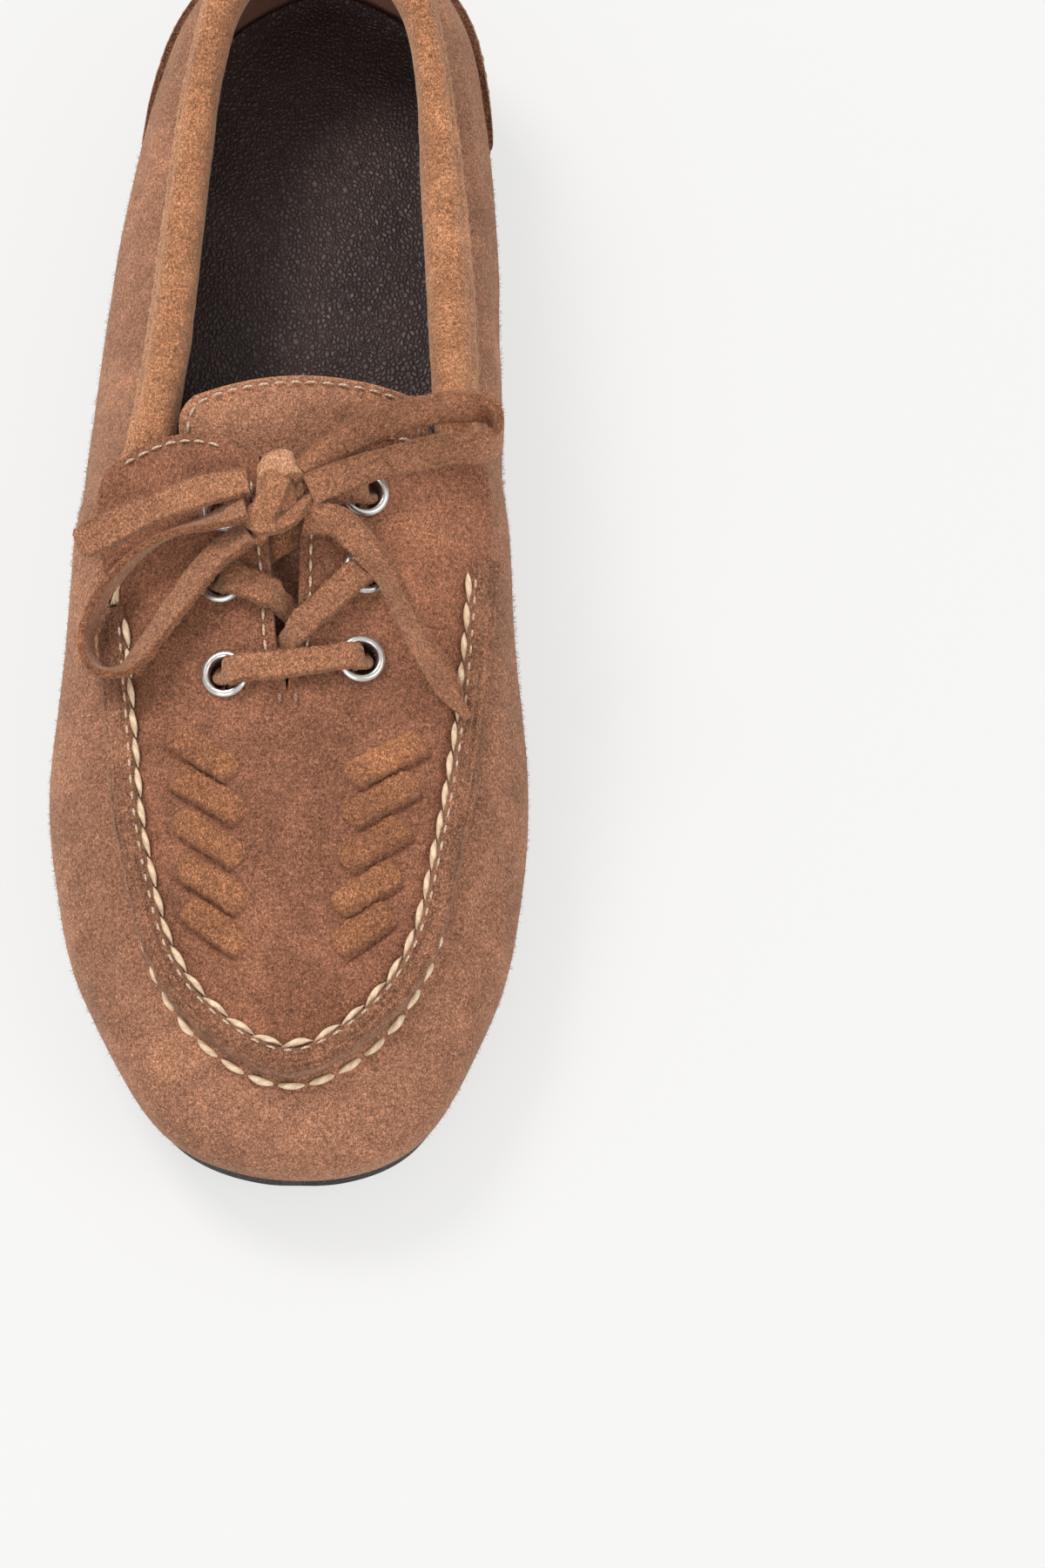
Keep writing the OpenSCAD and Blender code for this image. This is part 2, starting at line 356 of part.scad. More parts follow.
// ---- tongue, hinged at its lower end
TY = [[-51, 4.4], [-49, 6], [-46.5, 7.2], [-43, 7.3], [-10, 7], [2, 5.7], [13.3, 3.3]];
function tw(y) = hz([[-51, 10], [-44, 16], [-25, 21], [0, 23], [9, 23.4], [11.8, 22.6], [13.4, 20.4]], y);
module tongue_layer(d0, d1, n = 16) {
    ys = [for (i = [0:n]) -51 + 64.3*(1 - pow(1 - i/n, 1.35))];
    A = [for (y = ys) [for (j = [0:8]) let(x = 3 + tw(y)*(j/4 - 1), yy = y - (y > 0 ? 0.0046*y/11*pow(x - 3, 2) : 0)) [x*k, yy*k, H(x*k*0.92, yy*k) - hz(TY, y) - d0]]];
    B = [for (r = A) [for (p = r) [p[0], p[1], p[2] + d0 - d1]]];
    shell(A, B, flip = true);
}
module tongue() color(suede) tongue_layer(0, 1.4);
module tongue_lining() color(lining_c) tongue_layer(1.5, 2.3);
TS = [[-21.6, 4.5], [-21.6, 8], [-20.4, 10.6], [-17.5, 11.7], [-9, 11.9], [0, 11.9], [9, 11.9], [17.5, 11.7], [20.4, 10.6], [21.6, 8], [21.6, 4.5]];
module tongue_stitches() color(thread_c) stitches([for (i = [0:50]) let(p = rdo(TS, i/5), x = p[0] + 3, y = p[1] - 0.0046*p[1]/11*p[0]*p[0]) [x*k, y*k, H(x*k*0.92, y*k) - hz(TY, p[1]) + 0.55]], 3, 1.9, thread_t);

// ---- lace. Route points: x, y, height over the apron surface, heading in degrees
function strap(P, w, t, n) = [for (i = [0:n]) let(u = (len(P) - 1)*i/n, p = rdo(P, u), a = rdo(P, max(0, u - 0.04)), b = rdo(P, min(len(P) - 1, u + 0.04)),
    c = [p[0]*k, p[1]*k, H(p[0]*k, p[1]*k) + p[2]], ca = [a[0]*k, a[1]*k, H(a[0]*k, a[1]*k) + a[2]], cb = [b[0]*k, b[1]*k, H(b[0]*k, b[1]*k) + b[2]],
    s = [-sin(p[3]), cos(p[3]), 0], tn = unit(cb - ca), s2 = unit(s - tn*(s*tn)), up = cross(tn, s2),
    hw = w/2*(0.78 + 0.22*sstep((p[2] - 0.3)/1.2)))   // drawn narrower through the eyelets
    [c + s2*hw - up*t/2, c + s2*hw + up*t/2, c - s2*hw + up*t/2, c - s2*hw - up*t/2]];
// from the knot through the inner top eyelet, under and across to the outer middle eyelet,
// over into the slit, under to the inner bottom eyelet, and the bar across to the outer bottom eyelet
LA = [[4.1, -12.5, 3.1, 16], [8, -11.3, 2.6, 14], [13.2, -10.2, 1.9, 10], [14.9, -10, 0.2, 10], [14.6, -10.4, -2.6, 200], [12.2, -11.8, -3.65, 208],
      [1, -16.8, -3.65, 204], [-9, -23.1, -3.65, 212], [-11.3, -25, -2.4, 210], [-11.8, -25.5, 0.2, 340], [-10, -26.1, 1.9, 340], [-5, -28, 1.6, 340],
      [-2.2, -29.3, 1.2, 338], [0.1, -30.5, -1.4, 334], [2.4, -31.8, -3.9, 330], [5, -33.6, -3.9, 326], [11.4, -37.9, -3.6, 325], [13.8, -39.6, -2.2, 325], [14.2, -40, 0.4, 185],
      [12, -40.2, 1.9, 186], [7, -41, 1.6, 188], [1.6, -41.8, 1.5, 187], [-4, -42.3, 1.6, 184], [-8.8, -42.6, 1.9, 182], [-11, -42.8, 0.4, 180],
      [-10.8, -42.5, -2.3, 20], [-8.6, -41.4, -5.1, 24], [-4, -39.8, -5.1, 22], [-1.8, -38.8, -4.4, 26], [0.5, -37.2, -1.2, 32], [3, -35, 1.6, 38], [8, -30.4, 1.6, 42],
      [13.2, -25.4, 1.9, 44], [15, -23.9, 0.2, 60], [14.7, -23.6, -3, 150], [12.4, -22.7, -5.2, 152], [1, -17.2, -5.2, 156], [-8.6, -13.6, -5.2, 160], [-10.8, -12.9, -3, 165],
      [-11, -12.6, 0.2, 350], [-9.7, -13.1, 1.6, 352], [-8.2, -13.4, 1.6, 350], [-7, -13.6, 1.7, 350]];
module lace_laced() color(suede) loft(strap(LA, lace_w, lace_t, 82), true);

// tubes of the free ends: flat oval section. Route points: x, y, z, tilt of the flat in degrees
function ribbon(P, w, t, n, sd = 8) = [for (i = [0:n]) let(u = (len(P) - 1)*i/n, p = rdo(P, u), a = rdo(P, max(0, u - 0.05)), b = rdo(P, min(len(P) - 1, u + 0.05)),
    c = [p[0], p[1], p[2]]*k, tn = unit([b[0] - a[0], b[1] - a[1], b[2] - a[2]]), h = unit(cross([0, 0, 1], tn)), v = cross(tn, h), s = h*cos(p[3]) + v*sin(p[3]), q = cross(tn, s))
    [for (j = [0:sd-1]) let(g = 360*(j + 0.5)/sd) c + s*w/2*cos(g)*1.06 + q*t/2*sin(g)*1.06]];
BM = [[4.2, -10, 63.6, 35], [9, -5.4, 65, 50], [15.5, -0.6, 65, 55], [27.2, 4.8, 62, 60], [35.6, 7, 58.8, 70], [39.4, 5, 57.2, 85], [39.4, 0.6, 57.4, 95],
      [36, -1.8, 59, 115], [29.5, -3, 60.8, 125], [18.5, -7, 63, 130], [9, -11, 64, 140], [4.8, -13.2, 64, 145]];
BL = [[-7, -15.8, 62.2, 22], [-12.5, -17.3, 60.4, 38], [-23, -18.4, 55, 66], [-30.8, -23.4, 50.8, 86], [-35.6, -29.6, 47.2, 98], [-37, -35.6, 45.4, 108], [-34.8, -41, 45.6, 118],
      [-28.6, -41.2, 47.8, 134], [-21.4, -33, 51.8, 148], [-13.6, -24.2, 56.4, 155], [-6.6, -19.8, 60, 155]];
TM = [[3.8, -17, 60.4, 20], [10.6, -18.2, 60, 40], [18.4, -26, 56, 70], [23, -33.6, 52, 80], [27, -40.6, 49.4, 80], [31, -46.6, 46.6, 75], [34, -50.8, 45.2, 70]];
TL = [[-6.8, -10.6, 62.6, 0], [-14, -12, 62, 0], [-22.4, -13.8, 59.4, -10], [-30.4, -15.8, 56, -15], [-38.6, -18.2, 51.6, -20]];
module bow_loop_medial() color(suede) loft(ribbon(BM, lace_w, 1.8, 30), true);
module bow_loop_lateral() color(suede) loft(ribbon(BL, lace_w, 1.8, 30), true);
module lace_tail_medial() color(suede) loft(ribbon(TM, lace_w, 1.8, 16), true);
module lace_tail_lateral() color(suede) loft(ribbon(TL, lace_w, 1.8, 12), true);
module lace_knot() color(suede_lt) loft([for (i = [0:10]) let(a = -81 + 162*i/10, c = [-1.2 + 0.25*sin(a)*3, -13 - 6.9*sin(a)*0.98, H(-1.2*k, (-13 - 6.9*sin(a))*k) + 5.2], r = cos(a))
    [for (j = [0:11]) let(g = 30*j) [c[0]*k + 5*r*cos(g), c[1]*k, c[2] + 3.6*r*sin(g)]]], true);

outsole();
heel_lift();
heel_top_piece();
insole_board();
bottom_filler();
footbed_foam();
sock_lining();
sidewall();
apron();
apron_welt();
apron_lining();
vamp_lining();
quarter_lining_lateral();
quarter_lining_medial();
heel_grip();
heel_counter();
toe_puff();
heel_patch();
collar();
collar_foam();
facing_stay_lateral();
facing_stay_medial();
eyelets_lateral();
eyelets_medial();
weave_lateral();
weave_medial();
tongue();
tongue_lining();
lace_laced();
lace_knot();
bow_loop_medial();
bow_loop_lateral();
lace_tail_medial();
lace_tail_lateral();
hand_stitches_inner();
hand_stitches_outer();
seam_row_stitches();
facing_stitches();
collar_stitches();
tongue_stitches();
heel_patch_stitches();
bar_tack();
seam_wraps();
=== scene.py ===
import math
import bpy
import numpy as np
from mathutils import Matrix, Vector


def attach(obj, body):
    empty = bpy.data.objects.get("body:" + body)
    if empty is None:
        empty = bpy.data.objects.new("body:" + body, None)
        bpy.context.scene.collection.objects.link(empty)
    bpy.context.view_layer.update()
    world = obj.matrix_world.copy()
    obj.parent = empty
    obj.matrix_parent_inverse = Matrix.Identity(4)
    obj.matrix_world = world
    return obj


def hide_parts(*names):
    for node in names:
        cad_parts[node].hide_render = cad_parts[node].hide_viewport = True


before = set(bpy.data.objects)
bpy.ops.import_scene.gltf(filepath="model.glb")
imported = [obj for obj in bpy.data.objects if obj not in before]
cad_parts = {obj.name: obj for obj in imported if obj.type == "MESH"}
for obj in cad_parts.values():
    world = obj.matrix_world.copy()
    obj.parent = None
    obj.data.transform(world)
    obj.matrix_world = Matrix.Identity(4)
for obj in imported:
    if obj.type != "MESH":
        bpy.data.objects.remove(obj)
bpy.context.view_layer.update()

MM = 0.001
MEDIAL, LATERAL = 1, -1

# ------------------------------------------------------------------ camera (mm work is turned into metres here)
cam_data = bpy.data.cameras.new("camera")
cam_data.lens = 140.3
cam_data.sensor_width = 36.0
cam_data.clip_start = 0.01
cam_data.clip_end = 20.0
cam = bpy.data.objects.new("camera", cam_data)
bpy.context.scene.collection.objects.link(cam)
cam.location = (0.044, -0.5385, 1.0623)
cam.rotation_euler = (math.radians(25), 0, 0)
bpy.context.scene.camera = cam

# ------------------------------------------------------------------ smooth tables, as in the design
def cr(a, b, c, d, t):
    return 0.5 * (2*b + (c - a)*t + (2*a - 5*b + 4*c - d)*t*t + (3*b - a - 3*c + d)*t*t*t)

def hz(T, x):
    T = np.asarray(T, float); X, Y = T[:, 0], T[:, 1]
    m = np.empty(len(T))
    m[1:-1] = (Y[2:] - Y[:-2])/(X[2:] - X[:-2])
    m[0] = (Y[1] - Y[0])/(X[1] - X[0]); m[-1] = (Y[-1] - Y[-2])/(X[-1] - X[-2])
    x = np.asarray(x, float)
    i = np.clip(np.searchsorted(X, x, side="right") - 1, 0, len(T) - 2)
    w = X[i+1] - X[i]; t = (x - X[i])/w; a = m[i]*w; b = m[i+1]*w
    return (2*t**3 - 3*t*t + 1)*Y[i] + (t**3 - 2*t*t + t)*a + (3*t*t - 2*t**3)*Y[i+1] + (t**3 - t*t)*b

def sstep(t):
    c = np.clip(t, 0, 1)
    return c*c*(3 - 2*c)

def rdc(L, u):
    L = np.asarray(L, float); n = len(L); u = np.asarray(u, float)
    f = np.floor(u).astype(int); t = u - f
    if L.ndim > 1:
        t = t[..., None]
    return cr(L[(f - 1) % n], L[f % n], L[(f + 1) % n], L[(f + 2) % n], t)

def rdo(L, u):
    L = np.asarray(L, float); n = len(L); u = np.asarray(u, float)
    f = np.clip(np.floor(u).astype(int), 0, n - 2); t = u - f
    if L.ndim > 1:
        t = t[..., None]
    return cr(L[np.maximum(0, f - 1)], L[f], L[f + 1], L[np.minimum(n - 1, f + 2)], t)

def unit(a):
    return a/np.maximum(np.linalg.norm(a, axis=-1, keepdims=True), 1e-9)

outsole_t, heel_h, toe_spring = 4.0, 8.0, 5.5
board_t, foam_t, sock_t, suede_t, lining_t, stiff_t = 1.5, 3.0, 0.9, 1.5, 0.9, 1.1
welt_w, welt_h = 4.6, 2.8

def rise(y):
    y = np.asarray(y, float)
    return np.where(y > -20, heel_h*sstep((y + 20)/70), np.where(y < -85, toe_spring*((-y - 85)/43)**2, 0))

def zf(y):
    return outsole_t + rise(y)

ZC = [[-125, 25], [-118, 28], [-113, 30], [-108, 32], [-95, 36], [-70, 42], [-40, 49], [-10, 58], [0, 60.5], [12, 63], [25, 65]]
KC = [[-125, 0.0062], [-95, 0.0062], [-70, 0.006], [-40, 0.0076], [-10, 0.0098], [25, 0.0102]]
XC = 1.7

def H(x, y):
    return hz(ZC, y) - hz(KC, y)*(np.asarray(x, float) - XC)**2

def nH(x, y):
    a = -(H(x + 0.5, y) - H(x - 0.5, y)); b = -(H(x, y + 0.5) - H(x, y - 0.5))
    return unit(np.stack([a, b, np.ones_like(a)], -1))

RIBS = np.array([
    [4.8, 127.4, 27, 5, 119.2, 51, 4.5, 72],
    [-11, 121.2, 27, -9, 114, 50, 4.5, 70],
    [-22.4, 109.5, 26.5, -16.6, 105, 46.5, 4.2, 68],
    [-29.4, 89, 25, -21.5, 87, 43, 4, 62],
    [-34.9, 60, 23, -24.8, 60, 41, 4, 60],
    [-38.5, 28, 21, -27.8, 28, 42, 4, 58],
    [-40.3, 6, 20, -30.6, 6, 45.5, 4, 55],
    [-41.3, -8, 19.5, -35, -6, 0, 4, 50],
    [-43, -30, 18.5, -33.2, -27, 0, 4, 45],
    [-45, -53, 17.5, -31, -51, 0, 4, 40],
    [-43.2, -73.5, 17, -28.8, -71, 0, 4, 38],
    [-37.6, -94.5, 16.5, -23, -93.5, 0, 3.8, 37],
    [-21, -122.2, 16.5, -12.8, -107, 0, 3.6, 37],
    [2.6, -130.4, 17, 1.6, -113.8, 0, 3.5, 38],
    [25, -122.8, 16.5, 16, -106.6, 0, 3.6, 37],
    [39.5, -95, 16.5, 26.2, -92.5, 0, 3.8, 37],
    [43.9, -73, 17, 31.5, -71, 0, 4, 40],
    [45, -53, 17.5, 34.6, -51, 0, 4, 45],
    [43.2, -30, 18.5, 36.8, -27, 0, 4, 50],
    [41.4, -8, 19.5, 37.3, -6, 0, 4, 58],
    [40.3, 6, 20.5, 35.5, 6, 45, 4, 62],
    [39.9, 28, 21, 35.6, 28, 42, 4, 66],
    [39.2, 60, 23, 33.3, 60, 41, 4, 66],
    [36.6, 89, 25, 30, 87, 43, 4, 66],
    [32, 109.5, 26.5, 26, 105, 46.5, 4.2, 69],
    [21, 121.2, 27, 18.5, 114, 50, 4.5, 70]], float)
NR = len(RIBS)
TZL = np.array([r[5] if r[5] > 0 else float(H(r[3], r[4])) - 0.3 for r in RIBS])

def rib(u): return rdc(RIBS, u)
def mxy(u): return rib(u)[..., :2]
def outn(u):
    u = np.asarray(u, float); d = mxy(u + 0.05) - mxy(u - 0.05)
    return unit(np.stack([d[..., 1], -d[..., 0]], -1))
def topz(u):
    r = rib(u)
    return np.where((np.asarray(u) >= 7) & (np.asarray(u) <= 19), H(r[..., 3], r[..., 4]) - 0.3, rdc(TZL, u))
def T3(u):
    r = rib(u)
    return np.stack([r[..., 3], r[..., 4], topz(u)], -1)

VL = 0.35
def S(u, v):
    u, v = np.broadcast_arrays(np.asarray(u, float), np.asarray(v, float))
    r = rib(u); m = r[..., :2]; n = outn(u); fin = r[..., 6]; zm = r[..., 2]
    p0 = m - n*(fin - 36*v)[..., None]
    low = np.concatenate([p0, zf(p0[..., 1])[..., None]], -1)
    a = np.clip(v/VL, 0, 1)*np.pi/2
    p1 = m - n*(fin*(1 - np.sin(a)))[..., None]; z0 = zf(p1[..., 1])
    mid = np.concatenate([p1, (zm - (zm - z0)*np.cos(a))[..., None]], -1)
    s = np.clip((v - VL)/(1 - VL), 0, 1.3)[..., None]
    t = T3(u); P0 = np.concatenate([m, zm[..., None]], -1)
    hv = P0 - t; hv[..., 2] = 0; h2 = unit(hv)
    L = np.linalg.norm(P0 - t, axis=-1, keepdims=True)
    P1 = P0.copy(); P1[..., 2] += 0.5*(t[..., 2] - zm)
    lean = np.radians(r[..., 7])[..., None]
    P2 = t + h2*0.42*L*np.cos(lean); P2[..., 2] -= (0.42*L*np.sin(lean))[..., 0]
    up = (1-s)**3*P0 + 3*s*(1-s)**2*P1 + 3*s*s*(1-s)*P2 + s**3*t
    return np.where((v < 0)[..., None], low, np.where((v < VL)[..., None], mid, up))

def nS(u, v):
    u, v = np.broadcast_arrays(np.asarray(u, float), np.asarray(v, float))
    a = S(u + 0.04, v) - S(u - 0.04, v); b = S(u, np.minimum(1, v + 0.01)) - S(u, v - 0.01)
    return unit(np.cross(a, b))

def edge(u, d):
    t = T3(u); n = outn(u)
    return t[..., :2] - n*np.asarray(d)[..., None] if np.ndim(d) else t[..., :2] - n*d

# ------------------------------------------------------------------ seeded smooth noise
def vnoise(P, size, seed=0):
    q = np.asarray(P, float)/size + seed*17.13 + 500.0
    i = np.floor(q).astype(np.int64); f = q - i; f = f*f*(3 - 2*f)
    def h(ix, iy, iz):
        n = (ix*374761393 + iy*668265263 + iz*1440662683 + seed*1013904223) & 0xffffffff
        n = ((n ^ (n >> 13))*1274126177) & 0xffffffff
        return (n ^ (n >> 16))/4294967295.0*2 - 1
    out = 0.0
    for dx in (0, 1):
        for dy in (0, 1):
            for dz in (0, 1):
                w = (f[..., 0] if dx else 1 - f[..., 0])*(f[..., 1] if dy else 1 - f[..., 1])*(f[..., 2] if dz else 1 - f[..., 2])
                out = out + w*h(i[..., 0] + dx, i[..., 1] + dy, i[..., 2] + dz)
    return out

def fbm(P, size, seed=0, octaves=3):
    return sum(vnoise(P, size/2**k, seed + k)/2**k for k in range(octaves))/1.75

# ------------------------------------------------------------------ mesh making
def make(name, V, F, mats, body="shoe", uv=None, fmat=None, sharp=40, slot=None, replaces=()):
    V = np.asarray(V, float).reshape(-1, 3)*MM
    me = bpy.data.meshes.new(name)
    me.from_pydata(V.tolist(), [], [tuple(int(i) for i in f) for f in F])
    for m in mats:
        me.materials.append(m)
    if fmat is not None:
        me.polygons.foreach_set("material_index", np.asarray(fmat, np.int32))
    me.polygons.foreach_set("use_smooth", np.ones(len(me.polygons), bool))
    if uv is not None:
        lay = me.uv_layers.new(name="UVMap")
        li = np.empty(len(me.loops), np.int32); me.loops.foreach_get("vertex_index", li)
        lay.data.foreach_set("uv", np.asarray(uv, float).reshape(-1, 2)[li].astype(np.float32).ravel())
    me.validate(); me.update()
    if sharp:
        me.set_sharp_from_angle(angle=math.radians(sharp))
    o = bpy.data.objects.new(name, me)
    bpy.context.scene.collection.objects.link(o)
    if body:
        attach(o, body)
    if replaces:
        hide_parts(*replaces)
    return o

def grid_faces(m, n, closed_u=False, closed_v=False, base=0, flip=False):
    I = m if closed_u else m - 1; J = n if closed_v else n - 1
    i, j = np.meshgrid(np.arange(I), np.arange(J), indexing="ij")
    i2 = (i + 1) % m; j2 = (j + 1) % n
    q = np.stack([i*n + j, i2*n + j, i2*n + j2, i*n + j2], -1).reshape(-1, 4) + base
    return q[:, ::-1] if flip else q

def shell(name, A, B, mats, closed_u=False, flip=False, rim=None, **kw):
    """solid between grid A (seen side) and grid B; material 0 on A, 1 on B, rim on the edges"""
    A = np.asarray(A, float); B = np.asarray(B, float); m, n = A.shape[:2]; o = m*n
    fa = grid_faces(m, n, closed_u, flip=flip); fb = grid_faces(m, n, closed_u, base=o, flip=not flip)
    def edge_quads(ids):
        ids = np.asarray(ids); a, b = ids[:-1], ids[1:]
        return np.stack([b, a, a + o, b + o], -1)
    im = np.arange(m + (1 if closed_u else 0)) % m
    R = [edge_quads(im*n), edge_quads((im*n + n - 1))[:, ::-1]]
    if not closed_u:
        R += [edge_quads(np.arange(n))[:, ::-1], edge_quads(np.arange(n) + (m - 1)*n)]
    R = np.concatenate(R)
    if flip:
        R = R[:, ::-1]
    F = np.concatenate([fa, fb, R])
    rm = (len(mats) - 1) if rim is None else rim
    fm = np.concatenate([np.zeros(len(fa)), np.full(len(fb), min(1, len(mats) - 1)), np.full(len(R), rm)])
    return make(name, np.concatenate([A.reshape(-1, 3), B.reshape(-1, 3)]), F, mats, fmat=fm, **kw)

def tube_parts(R, base=0):
    """closed sections R (m, n, 3) with closed ends; returns faces"""
    m, n = R.shape[:2]
    F = [tuple(q) for q in grid_faces(m, n, closed_v=True, base=base)]
    F.append(tuple(range(base + n - 1, base - 1, -1)))
    F.append(tuple(range(base + (m - 1)*n, base + m*n)))
    return F

def arclen(P):
    return np.concatenate([[0], np.cumsum(np.linalg.norm(np.diff(P, axis=0), axis=1))])

def section(w, t, sides, px=0.20, py=0.34):
    g = 2*np.pi*(np.arange(sides) + 0.5)/sides
    c, s = np.cos(g), np.sin(g)
    return np.sign(c)*np.abs(c)**px*w/2, np.sign(s)*np.abs(s)**py*t/2

def band(C, Sd, Up, w, t, sides=20, fuzz=0.16, rough=0.08, seed=1, curl=0.0, wn=0.12):
    """rings of a flat leather band: rounded edges, ragged nap along the cut edges"""
    s = arclen(C); m = len(C)
    x, z = section(1.0, 1.0, sides)
    X = np.broadcast_to(x*w, (m, sides)).copy(); Z = np.broadcast_to(z*t, (m, sides)).copy()
    q = np.stack([np.broadcast_to(s[:, None], (m, sides)), X, Z], -1)
    e = np.clip((np.abs(2*x) - 0.72)/0.28, 0, 1)
    wid = 1 + wn*vnoise(np.stack([s, 0*s, 0*s], -1), 9, seed + 5)
    X = X*wid[:, None]
    X += np.sign(X)*e*(fuzz*vnoise(q*[1, 1, 1], 0.55, seed) + 0.5*fuzz*vnoise(q, 1.6, seed + 1))
    Z += np.sign(Z)*rough*vnoise(q, 0.8, seed + 2) + 0.12*vnoise(q*[1, 0.4, 0], 5, seed + 3)
    Z += curl*(2*x)**2*t
    R = C[:, None] + Sd[:, None]*X[..., None] + Up[:, None]*Z[..., None]
    uv = np.stack([np.broadcast_to(s[:, None], (m, sides)), np.broadcast_to(2*x*1.0, (m, sides))], -1)
    uv = np.stack([uv[..., 0]/10, uv[..., 1]*0.5 + 0.5], -1)
    return R, uv

def rdo_path(P, n):
    P = np.asarray(P, float); u = (len(P) - 1)*np.arange(n + 1)/n
    return rdo(P, u), rdo(P, np.maximum(0, u - 0.05)), rdo(P, np.minimum(len(P) - 1, u + 0.05))

def ribbon_frames(P, n):
    p, a, b = rdo_path(P, n)
    C = p[:, :3]; tn = unit(b[:, :3] - a[:, :3])
    h = unit(np.cross(np.array([0, 0, 1.0]), tn)); v = np.cross(tn, h)
    g = np.radians(p[:, 3])[:, None]
    s = h*np.cos(g) + v*np.sin(g)
    return C, s, np.cross(tn, s)

# ------------------------------------------------------------------ free lace ends first (route points x, y, z, tilt)
lace_w, lace_t = 5.8, 1.3
BM = [[4.2, -10, 63.6, 35], [9, -5.4, 65, 50], [15.5, -0.6, 65, 55], [27.2, 4.8, 62, 60], [35.6, 7, 58.8, 70], [39.4, 5, 57.2, 85], [39.4, 0.6, 57.4, 95],
      [36, -1.8, 59, 115], [29.5, -3, 60.8, 125], [18.5, -7, 63, 130], [9, -11, 64, 140], [4.8, -13.2, 64, 145]]
BL = [[-7, -15.8, 62.2, 22], [-12.5, -17.3, 60.4, 38], [-23, -18.4, 55, 66], [-30.8, -23.4, 50.8, 86], [-35.6, -29.6, 47.2, 98], [-37, -35.6, 45.4, 108], [-34.8, -41, 45.6, 118],
      [-28.6, -41.2, 47.8, 134], [-21.4, -33, 51.8, 148], [-13.6, -24.2, 56.4, 155], [-6.6, -19.8, 60, 155]]
TM = [[3.8, -17, 60.4, 20], [10.6, -18.2, 60, 40], [18.4, -26, 56, 70], [23, -33.6, 52, 80], [27, -40.6, 49.4, 80], [31, -46.6, 46.6, 75], [34, -50.8, 45.2, 70]]
TL = [[-6.8, -10.6, 62.6, 0], [-14, -12, 62, 0], [-22.4, -13.8, 59.4, -10], [-30.4, -15.8, 56, -15], [-38.6, -18.2, 51.6, -20]]

# ------------------------------------------------------------------ materials
def new_mat(name):
    m = bpy.data.materials.new(name); m.use_nodes = True
    nt = m.node_tree; nt.nodes.clear()
    out = nt.nodes.new("ShaderNodeOutputMaterial"); b = nt.nodes.new("ShaderNodeBsdfPrincipled")
    nt.links.new(b.outputs[0], out.inputs[0])
    return m, nt, b

class NT:
    """short hand for building a material"""
    def __init__(self, nt):
        self.nt = nt
        self.obj = nt.nodes.new("ShaderNodeTexCoord").outputs["Object"]
    def n(self, kind, **props):
        x = self.nt.nodes.new(kind)
        for k, v in props.items():
            setattr(x, k, v)
        return x
    def link(self, a, b): self.nt.links.new(a, b)
    def place(self, stretch=(1, 1, 1), shift=(0, 0, 0), rot=(0, 0, 0), src=None):
        m = self.n("ShaderNodeMapping")
        m.inputs["Scale"].default_value = stretch; m.inputs["Location"].default_value = shift
        m.inputs["Rotation"].default_value = rot
        self.link(src or self.obj, m.inputs["Vector"]); return m.outputs[0]
    def noise(self, scale, detail=2.0, rough=0.55, vec=None, distort=0.0):
        x = self.n("ShaderNodeTexNoise"); x.inputs["Scale"].default_value = scale
        x.inputs["Detail"].default_value = detail; x.inputs["Roughness"].default_value = rough
        x.inputs["Distortion"].default_value = distort
        self.link(vec or self.obj, x.inputs["Vector"]); return x.outputs["Fac"]
    def voronoi(self, scale, vec=None, feature="F1", out="Distance", rand=1.0):
        x = self.n("ShaderNodeTexVoronoi", feature=feature); x.inputs["Scale"].default_value = scale
        x.inputs["Randomness"].default_value = rand
        self.link(vec or self.obj, x.inputs["Vector"]); return x.outputs[out]
    def ramp(self, fac, stops, interp="LINEAR"):
        x = self.n("ShaderNodeValToRGB"); e = x.color_ramp.elements; x.color_ramp.interpolation = interp
        while len(e) < len(stops):
            e.new(0.5)
        for k, (p, c) in zip(e, stops):
            k.position = p; k.color = (*c, 1) if len(c) == 3 else c
        self.link(fac, x.inputs[0]); return x.outputs[0]
    def math(self, op, a, b=None, clamp=False):
        x = self.n("ShaderNodeMath", operation=op, use_clamp=clamp)
        for i, v in enumerate([a, b]):
            if v is None: continue
            if isinstance(v, (int, float)): x.inputs[i].default_value = v
            else: self.link(v, x.inputs[i])
        return x.outputs[0]
    def span(self, v, a, b, c=0.0, d=1.0):
        x = self.n("ShaderNodeMapRange", clamp=True)
        for i, q in enumerate([a, b, c, d]): x.inputs[i + 1].default_value = q
        self.link(v, x.inputs[0]); return x.outputs[0]
    def mix(self, fac, a, b, mode="MIX"):
        x = self.n("ShaderNodeMix", data_type="RGBA", blend_type=mode)
        for key, v in ((0, fac), (6, a), (7, b)):
            if isinstance(v, (int, float)): x.inputs[key].default_value = v
            elif isinstance(v, tuple): x.inputs[key].default_value = (*v, 1) if len(v) == 3 else v
            else: self.link(v, x.inputs[key])
        return x.outputs[2]
    def bump(self, height, strength, distance, normal=None):
        x = self.n("ShaderNodeBump"); x.inputs["Strength"].default_value = strength
        x.inputs["Distance"].default_value = distance
        self.link(height, x.inputs["Height"])
        if normal is not None: self.link(normal, x.inputs["Normal"])
        return x.outputs[0]

def mul(c, k):
    return tuple(min(1.0, x*k) for x in c[:3])

